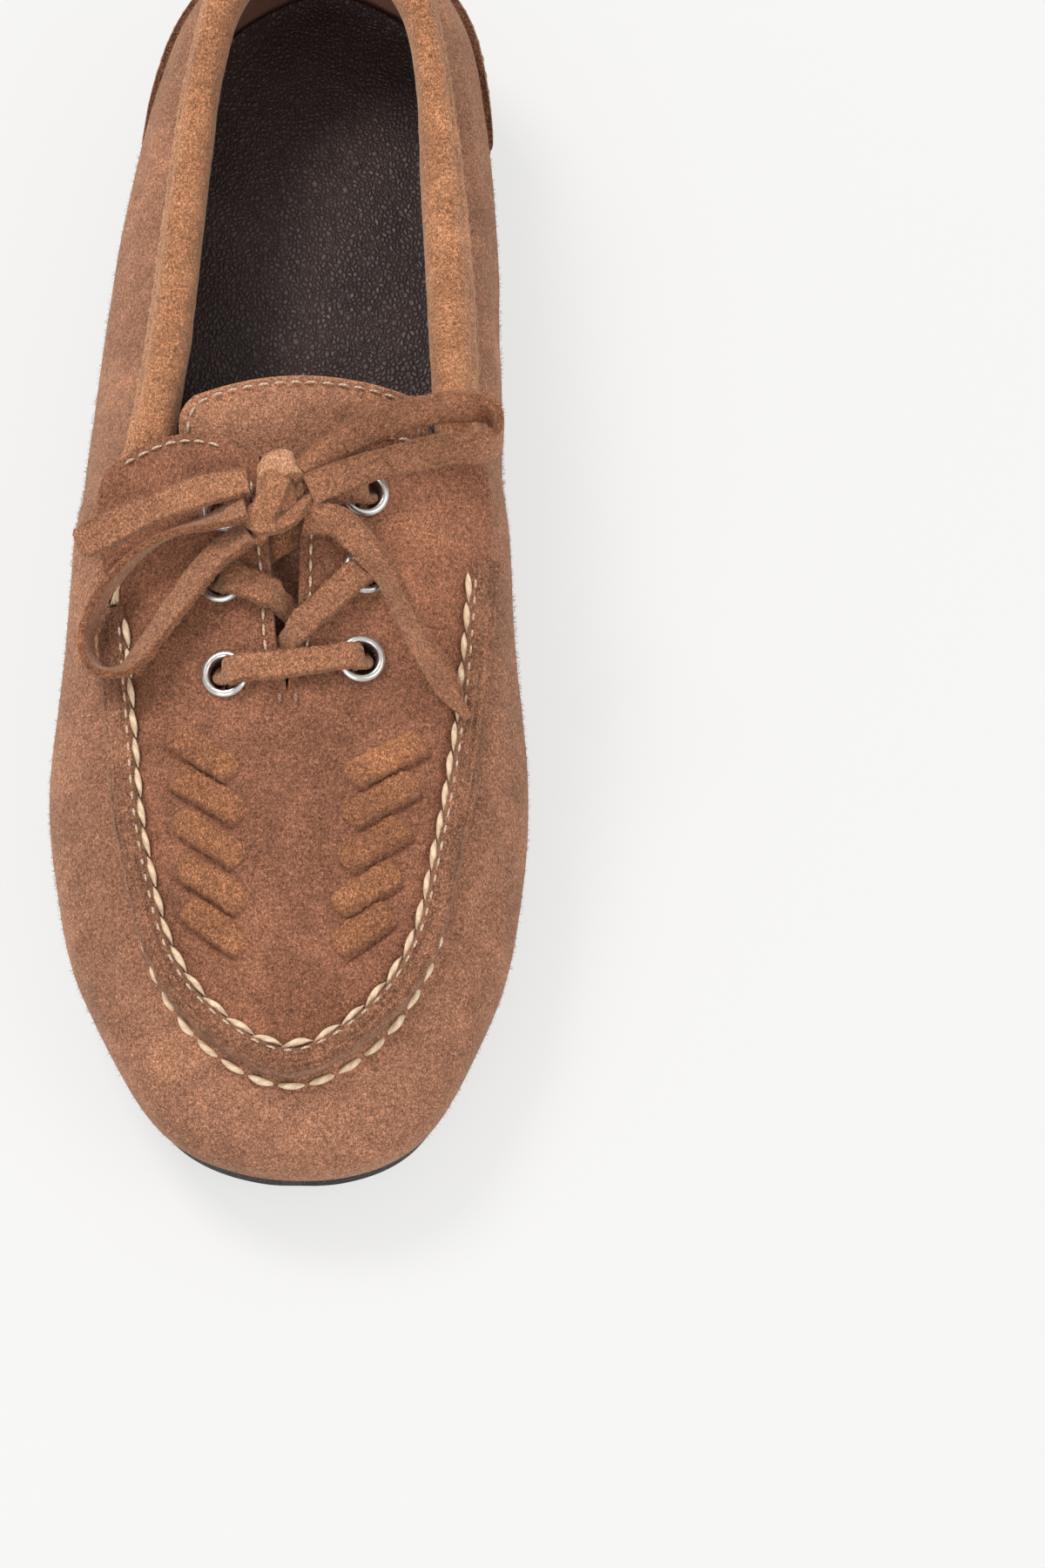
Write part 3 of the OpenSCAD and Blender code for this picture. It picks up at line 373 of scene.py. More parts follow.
def suede_mat(name, base, warm=None, seed=0.0, blotch=1.0, grain=1.0, nap=1.0, sheen=0.22, rawedge=None, bump=1.0, stripes=None, painted_light_patches=()):
    """napped split leather: broad shading of the nap, a speckle of short fibres, soft fuzz"""
    m, nt, b = new_mat(name); t = NT(nt)
    warm = warm or mul(base, 1.0)
    v = t.place(shift=(seed, seed*1.7, seed*0.6))
    big = t.noise(60, 5.0, 0.6, v, 0.7)
    mid = t.noise(330, 3.0, 0.6, v, 0.8)
    grn = t.noise(2100, 2.5, 0.62, v, 1.1)
    fib = t.noise(5000, 2.0, 0.6, t.place(stretch=(1, 0.4, 1), shift=(seed, 0, 0), rot=(0, 0, 0.5)), 0.6)
    col = t.ramp(big, [(0.30, mul(base, 1 - 0.20*blotch)), (0.5, base), (0.70, mul(warm, 1 + 0.22*blotch))])
    col = t.mix(1.0, col, t.ramp(mid, [(0.32, mul((1, 1, 1), 1 - 0.20*nap)), (0.68, (1, 1, 1))]), "MULTIPLY")
    spk = t.math("ADD", t.math("MULTIPLY", grn, 0.55), t.math("MULTIPLY", fib, 0.45))
    lo, hi = max(0.1, 1 - 0.52*grain), 1 + 1.10*grain
    sp = t.ramp(spk, [(0.385, (lo*0.5, lo*0.48, lo*0.46)), (0.5, (0.5, 0.5, 0.5)), (0.625, (hi*0.5, hi*0.5, hi*0.5))])
    two = t.mix(1.0, sp, (2.0, 2.0, 2.0), "MULTIPLY")
    col = t.mix(1.0, col, two, "MULTIPLY")
    for cx, cy, r, k in painted_light_patches:      # painted light: lighter patches over the shaded facings and the front of the toe; centre and radius in mm
        d = t.n("ShaderNodeVectorMath", operation="DISTANCE"); t.link(t.place(stretch=(1, 1, 0)), d.inputs[0])
        d.inputs[1].default_value = (cx*0.001, cy*0.001, 0)
        wob = t.math("MULTIPLY", t.math("SUBTRACT", t.noise(150, 2, 0.5, v), 0.5), 0.008)
        f = t.span(t.math("ADD", d.outputs["Value"], wob), r*0.0003, r*0.0013, 1.0, 0.0)
        col = t.mix(f, col, t.mix(1.0, col, (k, k*0.99, k*0.95), "MULTIPLY"))
    if rawedge is not None:
        uv = t.n("ShaderNodeUVMap", uv_map="UVMap").outputs[0]
        sep = t.n("ShaderNodeSeparateXYZ"); t.link(uv, sep.inputs[0])
        e = t.math("ABSOLUTE", t.math("SUBTRACT", sep.outputs[1], 0.5))
        e2 = t.math("ADD", e, t.math("MULTIPLY", t.math("SUBTRACT", t.noise(900, 2, 0.6), 0.5), 0.10))
        msk = t.span(e2, 0.40, 0.50)
        col = t.mix(msk, col, t.mix(1.0, col, rawedge, "MULTIPLY"))
    if stripes is not None:
        uv = t.n("ShaderNodeUVMap", uv_map="UVMap").outputs[0]
        vv = t.place(stretch=(0.25, 7.0, 1), src=uv)
        st = t.noise(1.6, 3.0, 0.7, vv, 0.15)
        col = t.mix(1.0, col, t.ramp(st, [(0.36, mul((1, 1, 1), stripes)), (0.56, (1, 1, 1))]), "MULTIPLY")
    t.link(col, b.inputs["Base Color"])
    b.inputs["Roughness"].default_value = 0.95
    b.inputs["Specular IOR Level"].default_value = 0.12
    b.inputs["Sheen Weight"].default_value = sheen
    b.inputs["Sheen Roughness"].default_value = 0.4
    b.inputs["Sheen Tint"].default_value = (1.0, 0.80, 0.62, 1)
    n1 = t.bump(mid, 0.22*bump, 0.0006)
    n2 = t.bump(spk, 0.62*bump, 0.00045, n1)
    t.link(n2, b.inputs["Normal"])
    return m

SU = (0.330, 0.148, 0.085)
# the apron carries painted light: four lighter patches on the facings and the toe
M_apron = suede_mat("suede_apron", (0.248, 0.107, 0.0635), (0.270, 0.117, 0.068), 1.3, blotch=0.9,
    painted_light_patches=((27, -16, 12, 1.55), (24, -31, 8, 1.35), (-27, -9, 9, 1.25), (2, -104, 16, 1.12)))
M_wall = suede_mat("suede_sidewall", (0.328, 0.156, 0.094), (0.352, 0.165, 0.096), 4.1)
M_wing = suede_mat("suede_collar", (0.435, 0.195, 0.099), (0.485, 0.226, 0.117), 7.7, nap=1.2, grain=1.05, sheen=0.5, bump=1.3)
M_weave = suede_mat("suede_strips", (0.325, 0.139, 0.070), (0.355, 0.153, 0.075), 2.9, grain=1.1, bump=1.4)
M_tongue = suede_mat("suede_tongue", (0.388, 0.186, 0.110), (0.424, 0.200, 0.117), 5.3)
M_raw = suede_mat("suede_raw_edge", (0.150, 0.066, 0.040), (0.190, 0.086, 0.050), 9.1, grain=1.3, bump=1.7, sheen=0.2)
M_welt = suede_mat("suede_seam_ridge", (0.300, 0.138, 0.081), (0.325, 0.149, 0.085), 6.2, grain=1.2, bump=1.6, stripes=0.66, sheen=0.35)
M_patch = suede_mat("suede_heel_patch", (0.330, 0.158, 0.098), (0.350, 0.166, 0.100), 3.6)
M_lace = suede_mat("suede_lace", (0.352, 0.158, 0.087), (0.390, 0.176, 0.095), 8.4, grain=1.1, bump=1.4, rawedge=(0.74, 0.68, 0.62), sheen=0.45)
M_apronnap = suede_mat("suede_apron_nap", (0.300, 0.132, 0.079), (0.325, 0.143, 0.084), 1.9, grain=0.4, bump=0.2, sheen=0.4)
M_ridgenap = suede_mat("suede_ridge_nap", (0.380, 0.180, 0.108), (0.410, 0.193, 0.112), 6.6, grain=0.5, bump=0.2, sheen=0.4)
M_strapnap = suede_mat("suede_strip_nap", (0.390, 0.172, 0.086), (0.420, 0.186, 0.092), 2.2, grain=0.4, bump=0.2, sheen=0.4)
M_wallnap = suede_mat("suede_wall_nap", (0.390, 0.186, 0.112), (0.415, 0.198, 0.117), 4.4, grain=0.4, bump=0.2, sheen=0.4)
M_nap = suede_mat("suede_nap_fibres", (0.430, 0.205, 0.115), (0.480, 0.235, 0.135), 8.8, grain=0.5, bump=0.3, sheen=0.4)
M_knot = suede_mat("suede_knot", (0.400, 0.180, 0.096), (0.440, 0.200, 0.108), 8.9, grain=1.0, bump=1.4, rawedge=(0.66, 0.60, 0.54), sheen=0.45)
# painted highlight: a much lighter copy of the lace suede for the lit top of the knot
M_knob_painted_highlight = suede_mat("suede_knob_painted_highlight", (0.600, 0.310, 0.175), (0.640, 0.340, 0.200), 8.2, grain=0.9, bump=1.4, rawedge=(0.62, 0.54, 0.48), sheen=0.5)

def leather_mat(name, base, cell=0.0011, depth=0.0003, rough=0.5, seed=0.0, crease_shade=0.5, strength=0.8, var=0.2, spec=0.45):
    """pebbled leather: rounded grains between fine creases, with painted shade darkening the creases"""
    m, nt, b = new_mat(name); t = NT(nt)
    v = t.place(stretch=(1, 0.72, 1), shift=(seed, seed, 0))
    w = t.n("ShaderNodeVectorMath", operation="ADD"); t.link(v, w.inputs[0])
    nz = t.n("ShaderNodeTexNoise"); nz.inputs["Scale"].default_value = 420
    t.link(v, nz.inputs["Vector"])
    sc = t.n("ShaderNodeVectorMath", operation="SCALE"); t.link(nz.outputs["Color"], sc.inputs[0]); sc.inputs["Scale"].default_value = 0.0013
    t.link(sc.outputs[0], w.inputs[1])
    d = t.voronoi(1/cell, w.outputs[0], "DISTANCE_TO_EDGE")
    cre = t.math("POWER", t.span(d, 0.0, 0.34), 0.6)
    big = t.noise(70, 3, 0.55, v)
    fine = t.noise(2600, 2, 0.6, v)
    col = t.ramp(big, [(0.3, mul(base, 1 - var)), (0.7, mul(base, 1 + var))])
    # painted shade: the colour is darkened inside the creases between the grains
    col = t.mix(1.0, col, t.ramp(cre, [(0.0, mul((1, 1, 1), 1 - crease_shade)), (0.6, (1, 1, 1))]), "MULTIPLY")
    t.link(col, b.inputs["Base Color"])
    t.link(t.ramp(cre, [(0.0, mul((1, 1, 1), min(1, rough + 0.25))), (1.0, mul((1, 1, 1), rough))]), b.inputs["Roughness"])
    b.inputs["Specular IOR Level"].default_value = spec
    hgt = t.math("ADD", cre, t.math("MULTIPLY", fine, 0.12))
    t.link(t.bump(hgt, strength, depth, t.bump(big, 0.4, 0.0015)), b.inputs["Normal"])
    return m

# the seventh argument sets the painted shade in the grain creases
M_sock = leather_mat("sock_leather", (0.050, 0.0300, 0.0270), 0.00085, 0.00027, 0.43, 0.4, 0.22, 0.9, 0.28, 0.55)
M_lining = leather_mat("lining_leather", (0.300, 0.150, 0.110), 0.0007, 0.00012, 0.62, 2.4, 0.18, 0.5, 0.16, 0.3)

def plain_mat(name, base, rough=0.6, scale=900, bumpd=0.0002, var=0.15, spec=0.4, speckle=None, metal=0.0, cells=None):
    m, nt, b = new_mat(name); t = NT(nt)
    g = t.noise(scale, 4, 0.6); big = t.noise(scale/14, 3, 0.5)
    col = t.ramp(big, [(0.3, mul(base, 1 - var)), (0.7, mul(base, 1 + var))])
    col = t.mix(1.0, col, t.ramp(g, [(0.35, mul((1, 1, 1), 1 - var)), (0.65, (1, 1, 1))]), "MULTIPLY")
    if speckle:
        f = t.noise(scale*1.7, 1, 0.5)
        col = t.mix(t.span(f, 0.64, 0.72), col, speckle)
    t.link(col, b.inputs["Base Color"])
    t.link(t.span(g, 0.3, 0.7, max(0.05, rough - 0.1), min(1, rough + 0.1)), b.inputs["Roughness"])
    b.inputs["Specular IOR Level"].default_value = spec
    b.inputs["Metallic"].default_value = metal
    h = g if cells is None else t.voronoi(cells)
    t.link(t.bump(h, 0.6, bumpd), b.inputs["Normal"])
    return m

M_rubber = plain_mat("sole_rubber", (0.010, 0.010, 0.011), 0.6, 1500, 0.00012, 0.2, 0.25)
M_stack = plain_mat("heel_stack", (0.030, 0.024, 0.021), 0.6, 900, 0.00015, 0.25, 0.35)
M_board = plain_mat("insole_board", (0.52, 0.40, 0.25), 0.85, 700, 0.00015, 0.18, 0.2, speckle=(0.30, 0.20, 0.12))
M_foam = plain_mat("foam", (0.70, 0.62, 0.44), 0.9, 1500, 0.0004, 0.12, 0.1, cells=1400)
M_stiff = plain_mat("stiffener_board", (0.60, 0.52, 0.36), 0.8, 800, 0.0001, 0.12, 0.2, speckle=(0.4, 0.3, 0.2))
M_filler = plain_mat("cork_filler", (0.20, 0.11, 0.055), 0.9, 500, 0.0004, 0.35, 0.1, speckle=(0.07, 0.035, 0.02))
M_tape = plain_mat("woven_tape", (0.66, 0.64, 0.58), 0.85, 1600, 0.0002, 0.1, 0.15)

def metal_mat():
    m, nt, b = new_mat("nickel_satin"); t = NT(nt)
    g = t.noise(2200, 3, 0.6, t.place(stretch=(1, 0.3, 1)))
    big = t.noise(300, 3, 0.5)
    t.link(t.ramp(big, [(0.3, (0.62, 0.61, 0.59)), (0.7, (0.74, 0.73, 0.71))]), b.inputs["Base Color"])
    b.inputs["Metallic"].default_value = 1.0
    t.link(t.span(g, 0.3, 0.7, 0.22, 0.42), b.inputs["Roughness"])
    t.link(t.bump(g, 0.15, 0.00006), b.inputs["Normal"])
    return m
M_metal = metal_mat()

def thread_mat(name, base, ply_groove_shade, plies=3.0, turns=1.0, strength=0.5):
    m, nt, b = new_mat(name); t = NT(nt)
    uv = t.n("ShaderNodeUVMap", uv_map="UVMap").outputs[0]
    sep = t.n("ShaderNodeSeparateXYZ"); t.link(uv, sep.inputs[0])
    # the plies wind round the stitch: u runs along it in cm, v round it once
    ph = t.math("ADD", t.math("MULTIPLY", sep.outputs[0], 9.0*turns), t.math("MULTIPLY", sep.outputs[1], plies))
    sn = t.math("SINE", t.math("MULTIPLY", ph, 2*math.pi))
    ply = t.span(sn, -1.0, 1.0)
    fib = t.noise(3000, 2, 0.6, t.place(stretch=(1, 0.4, 1)))
    bl = t.noise(260, 2, 0.5)
    # painted shade: the colour falls to the second colour in the grooves between the plies
    col = t.mix(t.span(ply, 0.0, 0.45, 0.0, 1.0), ply_groove_shade, base)
    col = t.mix(1.0, col, t.ramp(fib, [(0.35, (0.80, 0.76, 0.70)), (0.6, (1, 1, 1))]), "MULTIPLY")
    col = t.mix(1.0, col, t.ramp(bl, [(0.3, (0.88, 0.84, 0.78)), (0.7, (1, 1, 1))]), "MULTIPLY")
    t.link(col, b.inputs["Base Color"])
    b.inputs["Roughness"].default_value = 0.72
    b.inputs["Specular IOR Level"].default_value = 0.25
    b.inputs["Sheen Weight"].default_value = 0.25
    t.link(t.bump(t.math("ADD", ply, t.math("MULTIPLY", fib, 0.3)), strength, 0.0002), b.inputs["Normal"])
    return m
# the second colour of each thread is painted shade for the grooves between the plies
M_thread = thread_mat("thread_cream", (0.93, 0.75, 0.55), (0.82, 0.60, 0.42), 3.0, 0.4)
M_fine = thread_mat("thread_fine", (0.80, 0.62, 0.48), (0.55, 0.38, 0.26), 2.0, 1.5)
M_tone = thread_mat("thread_tone", (0.60, 0.36, 0.20), (0.30, 0.15, 0.08), 2.0, 1.5)
M_bar = thread_mat("thread_bar_tack", (0.42, 0.26, 0.20), (0.25, 0.13, 0.09), 2.0, 1.5)

def fibres(name, pts, dirs, mat, length=0.6, rad=0.05, jitter=0.6, seed=1, body="shoe", slot="lace"):
    """short closed spikes of nap standing out of a cut edge"""
    rng = np.random.default_rng(seed); n = len(pts); r = rng.normal(size=(3, n, 3))
    d = unit(unit(dirs) + jitter*r[0]); L = (length*rng.uniform(0.35, 1.25, n))[:, None]
    a = unit(np.cross(d, r[1])); b = np.cross(d, a)
    w = rad*rng.uniform(0.7, 1.3, n)[:, None]
    rows_ = []
    for k, (al, wi, be) in enumerate(((-0.25, 1.0, 0.0), (0.45, 0.75, 0.10))):
        c = pts + d*(al*L) + a*(be*L)
        for g in (0, 2.094, 4.189):
            rows_.append(c + (a*math.cos(g) + b*math.sin(g))*w*wi)
    rows_.append(pts + d*L + a*(0.38*L))
    V = np.stack(rows_, 1).reshape(-1, 3); o = (np.arange(n)*7)[:, None]
    tri = np.array([[0, 2, 1], [3, 4, 6], [4, 5, 6], [5, 3, 6], [0, 1, 4], [0, 4, 3], [1, 2, 5], [1, 5, 4], [2, 0, 3], [2, 3, 5]])
    F = (o[:, None, :] + tri[None]).reshape(-1, 3)
    return make(name, V, F, [mat], body=body, slot=slot, sharp=0)

def edge_fibres(name, R, C, Sd, mat, per, seed, **kw):
    """fibres along both cut edges of a band"""
    rng = np.random.default_rng(seed); m, n = R.shape[:2]
    x = ((R - C[:, None])*Sd[:, None]).sum(-1); w = np.abs(x).max()
    ii, jj = np.nonzero(np.abs(x) > 0.86*w)
    k = rng.choice(len(ii), min(len(ii), per), replace=False); ii, jj = ii[k], jj[k]
    P = R[ii, jj] + rng.normal(size=(len(ii), 3))*0.05
    return fibres(name, P, Sd[ii]*np.sign(x[ii, jj])[:, None], mat, seed=seed + 1, **kw)

# ------------------------------------------------------------------ the four free lace ends
def free_end(name, P, n, seed, node, w=lace_w*1.04, t=1.55, taper=None):
    C, Sd, Up = ribbon_frames(P, n)
    R, uv = band(C, Sd, Up, w, t, 24, 0.20, 0.10, seed)
    if taper is not None:
        s = arclen(C); k = taper(1 - s/s[-1])[:, None, None]
        R = C[:, None] + (R - C[:, None])*k
    o = make(name, R.reshape(-1, 3), tube_parts(R), [M_lace], uv=uv.reshape(-1, 2), slot="lace", replaces=(node,), sharp=60)
    edge_fibres(name + "_nap", R, C, Sd, M_nap, int(16*arclen(C)[-1]), seed + 3, length=0.75, jitter=0.75)
    return o

def cut_end(x):   # x is 0 at the far end
    return 0.80 + 0.20*sstep(x/0.02)
def point_end(x):
    return 0.34 + 0.66*sstep(x/0.16)
free_end("bow_loop_medial_band", BM, 300, 11, "bow_loop_medial")
free_end("bow_loop_lateral_band", BL, 300, 23, "bow_loop_lateral")
TMV = [[*p[:3], a] for p, a in zip(TM, (20, 40, 62, 62, 60, 58, 56))]   # same route, flat turned a little more to the top
free_end("lace_tail_medial_band", TMV, 190, 37, "lace_tail_medial", taper=point_end)
free_end("lace_tail_lateral_band", TL, 130, 41, "lace_tail_lateral", taper=cut_end)

# ------------------------------------------------------------------ side of the upper
def sidewall():
    nu = 26*26; us = np.arange(nu)/26.0
    V = np.concatenate([np.linspace(-0.22, 0.02, 6)[:-1], np.linspace(0.02, 0.35, 14)[:-1], np.linspace(0.35, 0.80, 26)[:-1], np.linspace(0.80, 1.0, 20)])
    U, W = np.meshgrid(us, V, indexing="ij")
    P = S(U, W); N = nS(U, W)
    d = 0.30*fbm(P, 17, 3)*sstep((W - 0.05)/0.2)*sstep((1.02 - W)/0.2)
    # soft pulls of the leather between the stitches, round the toe only
    toe = sstep((U - 9.8)/1.2)*sstep((16.0 - U)/1.2)
    L = arclen(S(us, 0.91 + 0*us))[:, None]
    ph = L/5.8*2*np.pi
    d += toe*(0.34*np.cos(ph)*np.exp(-((W - 0.90)/0.05)**2) - 0.35*np.exp(-((W - 0.905)/0.03)**2))
    side = 1 - toe
    seam = sstep((U - 7.6)/0.3)*sstep((18.5 - U)/0.3)
    d += seam*(0.45*np.exp(-((W - 0.86)/0.09)**2))
    # padded part of the quarters, up to the collar seam
    q = sstep((6.6 - U)/0.4) + sstep((U - 19.4)/0.4)
    d += q*(0.55*np.exp(-((W - 0.80)/0.12)**2) - 0.35*np.exp(-((W - 0.985)/0.035)**2))
    A = P + N*d[..., None]
    B = P - N*suede_t
    shell("sidewall_suede", A, B, [M_wall, M_raw, M_raw], closed_u=True, flip=False, slot="suede_light", replaces=("sidewall",), sharp=60)
sidewall()

def wall_nap():
    rng = np.random.default_rng(301); n = 9000
    U = rng.uniform(0, NR, n); W = rng.uniform(0.20, 0.86, n)
    P = S(U, W); N = nS(U, W)
    fibres("sidewall_nap", P + N*0.10, N + np.array([0, 0, 0.2]), M_wallnap, length=0.70, rad=0.035, jitter=0.75, seed=303, slot="suede_light")
wall_nap()

def skin(name, u0, u1, v0, v1, d0, d1, nu, nv, mats, node, slot, wav=0.12, seed=1):
    U, W = np.meshgrid(np.linspace(u0, u1, nu), np.linspace(v0, v1, nv), indexing="ij")
    P = S(U, W); N = nS(U, W); k = wav*fbm(P, 12, seed)[..., None]
    A = P - N*(d1 + k); B = P - N*(d0 + 0*k)
    return shell(name, A, B, mats, flip=True, slot=slot, replaces=(node,), sharp=50)
DL = suede_t + 0.3 + stiff_t
skin("vamp_lining_leather", 7.05, 18.95, 0.17, 0.97, DL, DL + lining_t, 240, 30, [M_lining], "vamp_lining", "lining", seed=31)
skin("quarter_lining_lateral_leather", 1.8, 6.95, 0.17, 0.96, DL, DL + lining_t, 110, 30, [M_lining], "quarter_lining_lateral", "lining", seed=32)
skin("quarter_lining_medial_leather", NR - 6.95, NR - 1.8, 0.17, 0.96, DL, DL + lining_t, 110, 30, [M_lining], "quarter_lining_medial", "lining", seed=33)
skin("heel_grip_leather", -1.7, 1.7, 0.17, 0.96, DL, DL + lining_t, 90, 34, [M_lining], "heel_grip", "lining", seed=34)

def patch_top(u):
    return 0.52 - 0.24*(np.abs(u)/3.1)**4

def heel_patch():
    us = np.linspace(-3.1, 3.1, 210); nv = 34
    top = patch_top(us) + 0.006*vnoise(np.stack([us*22, 0*us, 0*us], -1), 1.2, 8)
    j = np.linspace(0, 1, nv)
    U = np.repeat(us[:, None], nv, 1); W = 0.13 + (top[:, None] - 0.13)*j
    P = S(U, W); N = nS(U, W)
    e = np.minimum(1, np.minimum((1 - j)[None, :]*nv/4, np.minimum(np.arange(210), np.arange(210)[::-1])[:, None]/4.0))
    d = 0.25 + suede_t - 0.32*(1 - e)**2 + 0.12*fbm(P, 9, 12)
    groove = np.exp(-((W - (top[:, None] - 0.05))/0.010)**2)
    A = P + N*(d - 0.22*groove)[..., None]; B = P + N*0.02
    shell("heel_patch_suede", A, B, [M_patch, M_raw, M_raw], slot="suede_edge", replaces=("heel_patch",), sharp=50)
heel_patch()

# ------------------------------------------------------------------ stitches
def stitch_points(P, pitch, L, start=0.5):
    s = arclen(P); tot = s[-1]; n = int((tot - start*2)//pitch); s0 = (tot - n*pitch)/2
    def at(x): return np.stack([np.interp(x, s, P[:, k]) for k in range(3)], -1)
    i = np.arange(n)
    return at(s0 + i*pitch + (pitch - L)/2), at(s0 + i*pitch + (pitch + L)/2)

def spindles(name, A, B, Up, r, bow, mat, node, rings=13, sides=12, taper=0.55, ply=0.08, sink=0.0, slot="thread", body="shoe", skew=0.0, plies=3, flat=1.0, extra=0.0, minr=0.16):
    V, F, UV = [], [], []; base = 0
    Up = np.broadcast_to(np.asarray(Up, float), A.shape)
    for k in range(len(A)):
        a, b, up = A[k], B[k], Up[k]
        ax = unit(b - a); up = unit(up - ax*(up @ ax)); sd = np.cross(up, ax)
        a = a - ax*extra - sd*skew; b = b + ax*extra + sd*skew
        t = np.linspace(0, 1, rings); L = np.linalg.norm(b - a)
        rr = r*np.maximum(np.sin(np.pi*t)**taper, minr)*(1 + 0.06*math.sin(k*2.4))
        C = a + (b - a)*t[:, None] + up*((bow*np.sin(np.pi*t)**0.7 - sink*(1 - np.sin(np.pi*t)))[:, None]) + sd*(0.10*r*math.sin(k*1.7))*np.sin(np.pi*t)[:, None]
        g = 2*np.pi*np.arange(sides)/sides
        rad = rr[:, None]*(1 + ply*np.cos(plies*(g[None, :] + 2.2*t[:, None]*L/5)))
        R = C[:, None] + sd*(rad*np.cos(g))[..., None] + up*(rad*flat*np.sin(g))[..., None]
        V.append(R.reshape(-1, 3)); F += tube_parts(R, base); base += rings*sides
        UV.append(np.stack(np.meshgrid((t + k*0.37)*L/10, np.arange(sides)/sides, indexing="ij"), -1).reshape(-1, 2))
    return make(name, np.concatenate(V), F, [mat], uv=np.concatenate(UV), slot=slot, replaces=(node,), sharp=0, body=body)

def seamrow(a, b, off, h, n=400):
    u = np.linspace(a, b, n + 1); t = T3(u); nn = outn(u); x = t[:, 0] + nn[:, 0]*off; y = t[:, 1] + nn[:, 1]*off
    return np.stack([x, y, H(x, y) + h], -1), nn

P, _ = seamrow(8.0, 18.38, -welt_w/2 - 0.74, 0.78)
a, b = stitch_points(P, 5.8, 5.8)
spindles("hand_stitches_inner_row", a, b, (0, 0, 1), 0.64, 0.50, M_thread, "hand_stitches_inner", 17, 14, 0.72, 0.045, 0.55, skew=0.26, extra=0.12)
us = 10.6 + 4.8*np.arange(201)/200
vo = 0.908 + 0.064*((us - 13)/2.4)**2
P = S(us, vo) + nS(us, vo)*(0.42 - 0.80*((us - 13)/2.4)**2)[:, None]
a, b = stitch_points(P, 5.8, 4.7)
um = np.interp((np.arange(len(a)) + 0.5)/len(a), [0, 1], [10.6, 15.4])
spindles("hand_stitches_outer_row", a, b, nS(um, 0.91 + 0*um), 0.68, 0.30, M_thread, "hand_stitches_outer", 17, 14, 0.5, 0.07, 0.5, extra=0.2)
P, _ = seamrow(8.1, 18.3, -welt_w/2 + 0.55, welt_h - 0.15)
a, b = stitch_points(P, 3.2, 1.9)
spindles("seam_row_fine_stitches", a, b, (0, 0, 1), 0.22, 0.08, M_fine, "seam_row_stitches", 7, 8, 0.4, 0.05, 0.25, plies=2)

# ------------------------------------------------------------------ apron with its facings
CXL = [[-130, 1.6], [-100, 1.5], [-70, 0.9], [-60, 0.6], [-46.5, 0.5]]
SLLb = [[-46.5, 0.5], [-44.5, 0.2], [-41.5, -0.6], [-39, -1.4], [-35, -1.9], [-28, -2.2], [-20, -3], [-8, -4.4], [4, -5.4]]
SLRb = [[-46.5, 0.5], [-44.5, 0.75], [-41.5, 1.2], [-39, 2], [-35, 2.5], [-28, 2.7], [-20, 2.8], [-8, 3.6], [4, 4.6]]
EYL = np.array([[-11, -42.7], [-11.8, -25.4], [-11, -12.6]])
EYM = np.array([[14.2, -39.9], [15, -23.8], [14.8, -9.8]])
WL = [[-21, -52.6, -9, -61], [-20.2, -60.4, -7.4, -69], [-19.8, -68.2, -7.6, -77], [-19.2, -76.6, -6.8, -85.4], [-17.8, -84.8, -6.6, -93]]
WM = [[25.8, -53.6, 12, -62], [24.4, -61.4, 11.6, -69.4], [22.8, -69.6, 10.8, -77.4], [21, -78.2, 9.8, -85.8], [19.8, -85.6, 9.6, -93.2]]

def slit_x(side, y):
    t = SLLb if side < 0 else SLRb
    return np.where(y <= -46.5, hz(CXL, np.minimum(y, -46.5)), hz(t, np.maximum(y, -46.5)))

def strip_axes(w):
    a = np.array(w[:2], float); b = np.array(w[2:], float); d = unit(b - a); s = np.array([-d[1], d[0]])
    if s[1] < 0: s = -s
    return a, b, d, s

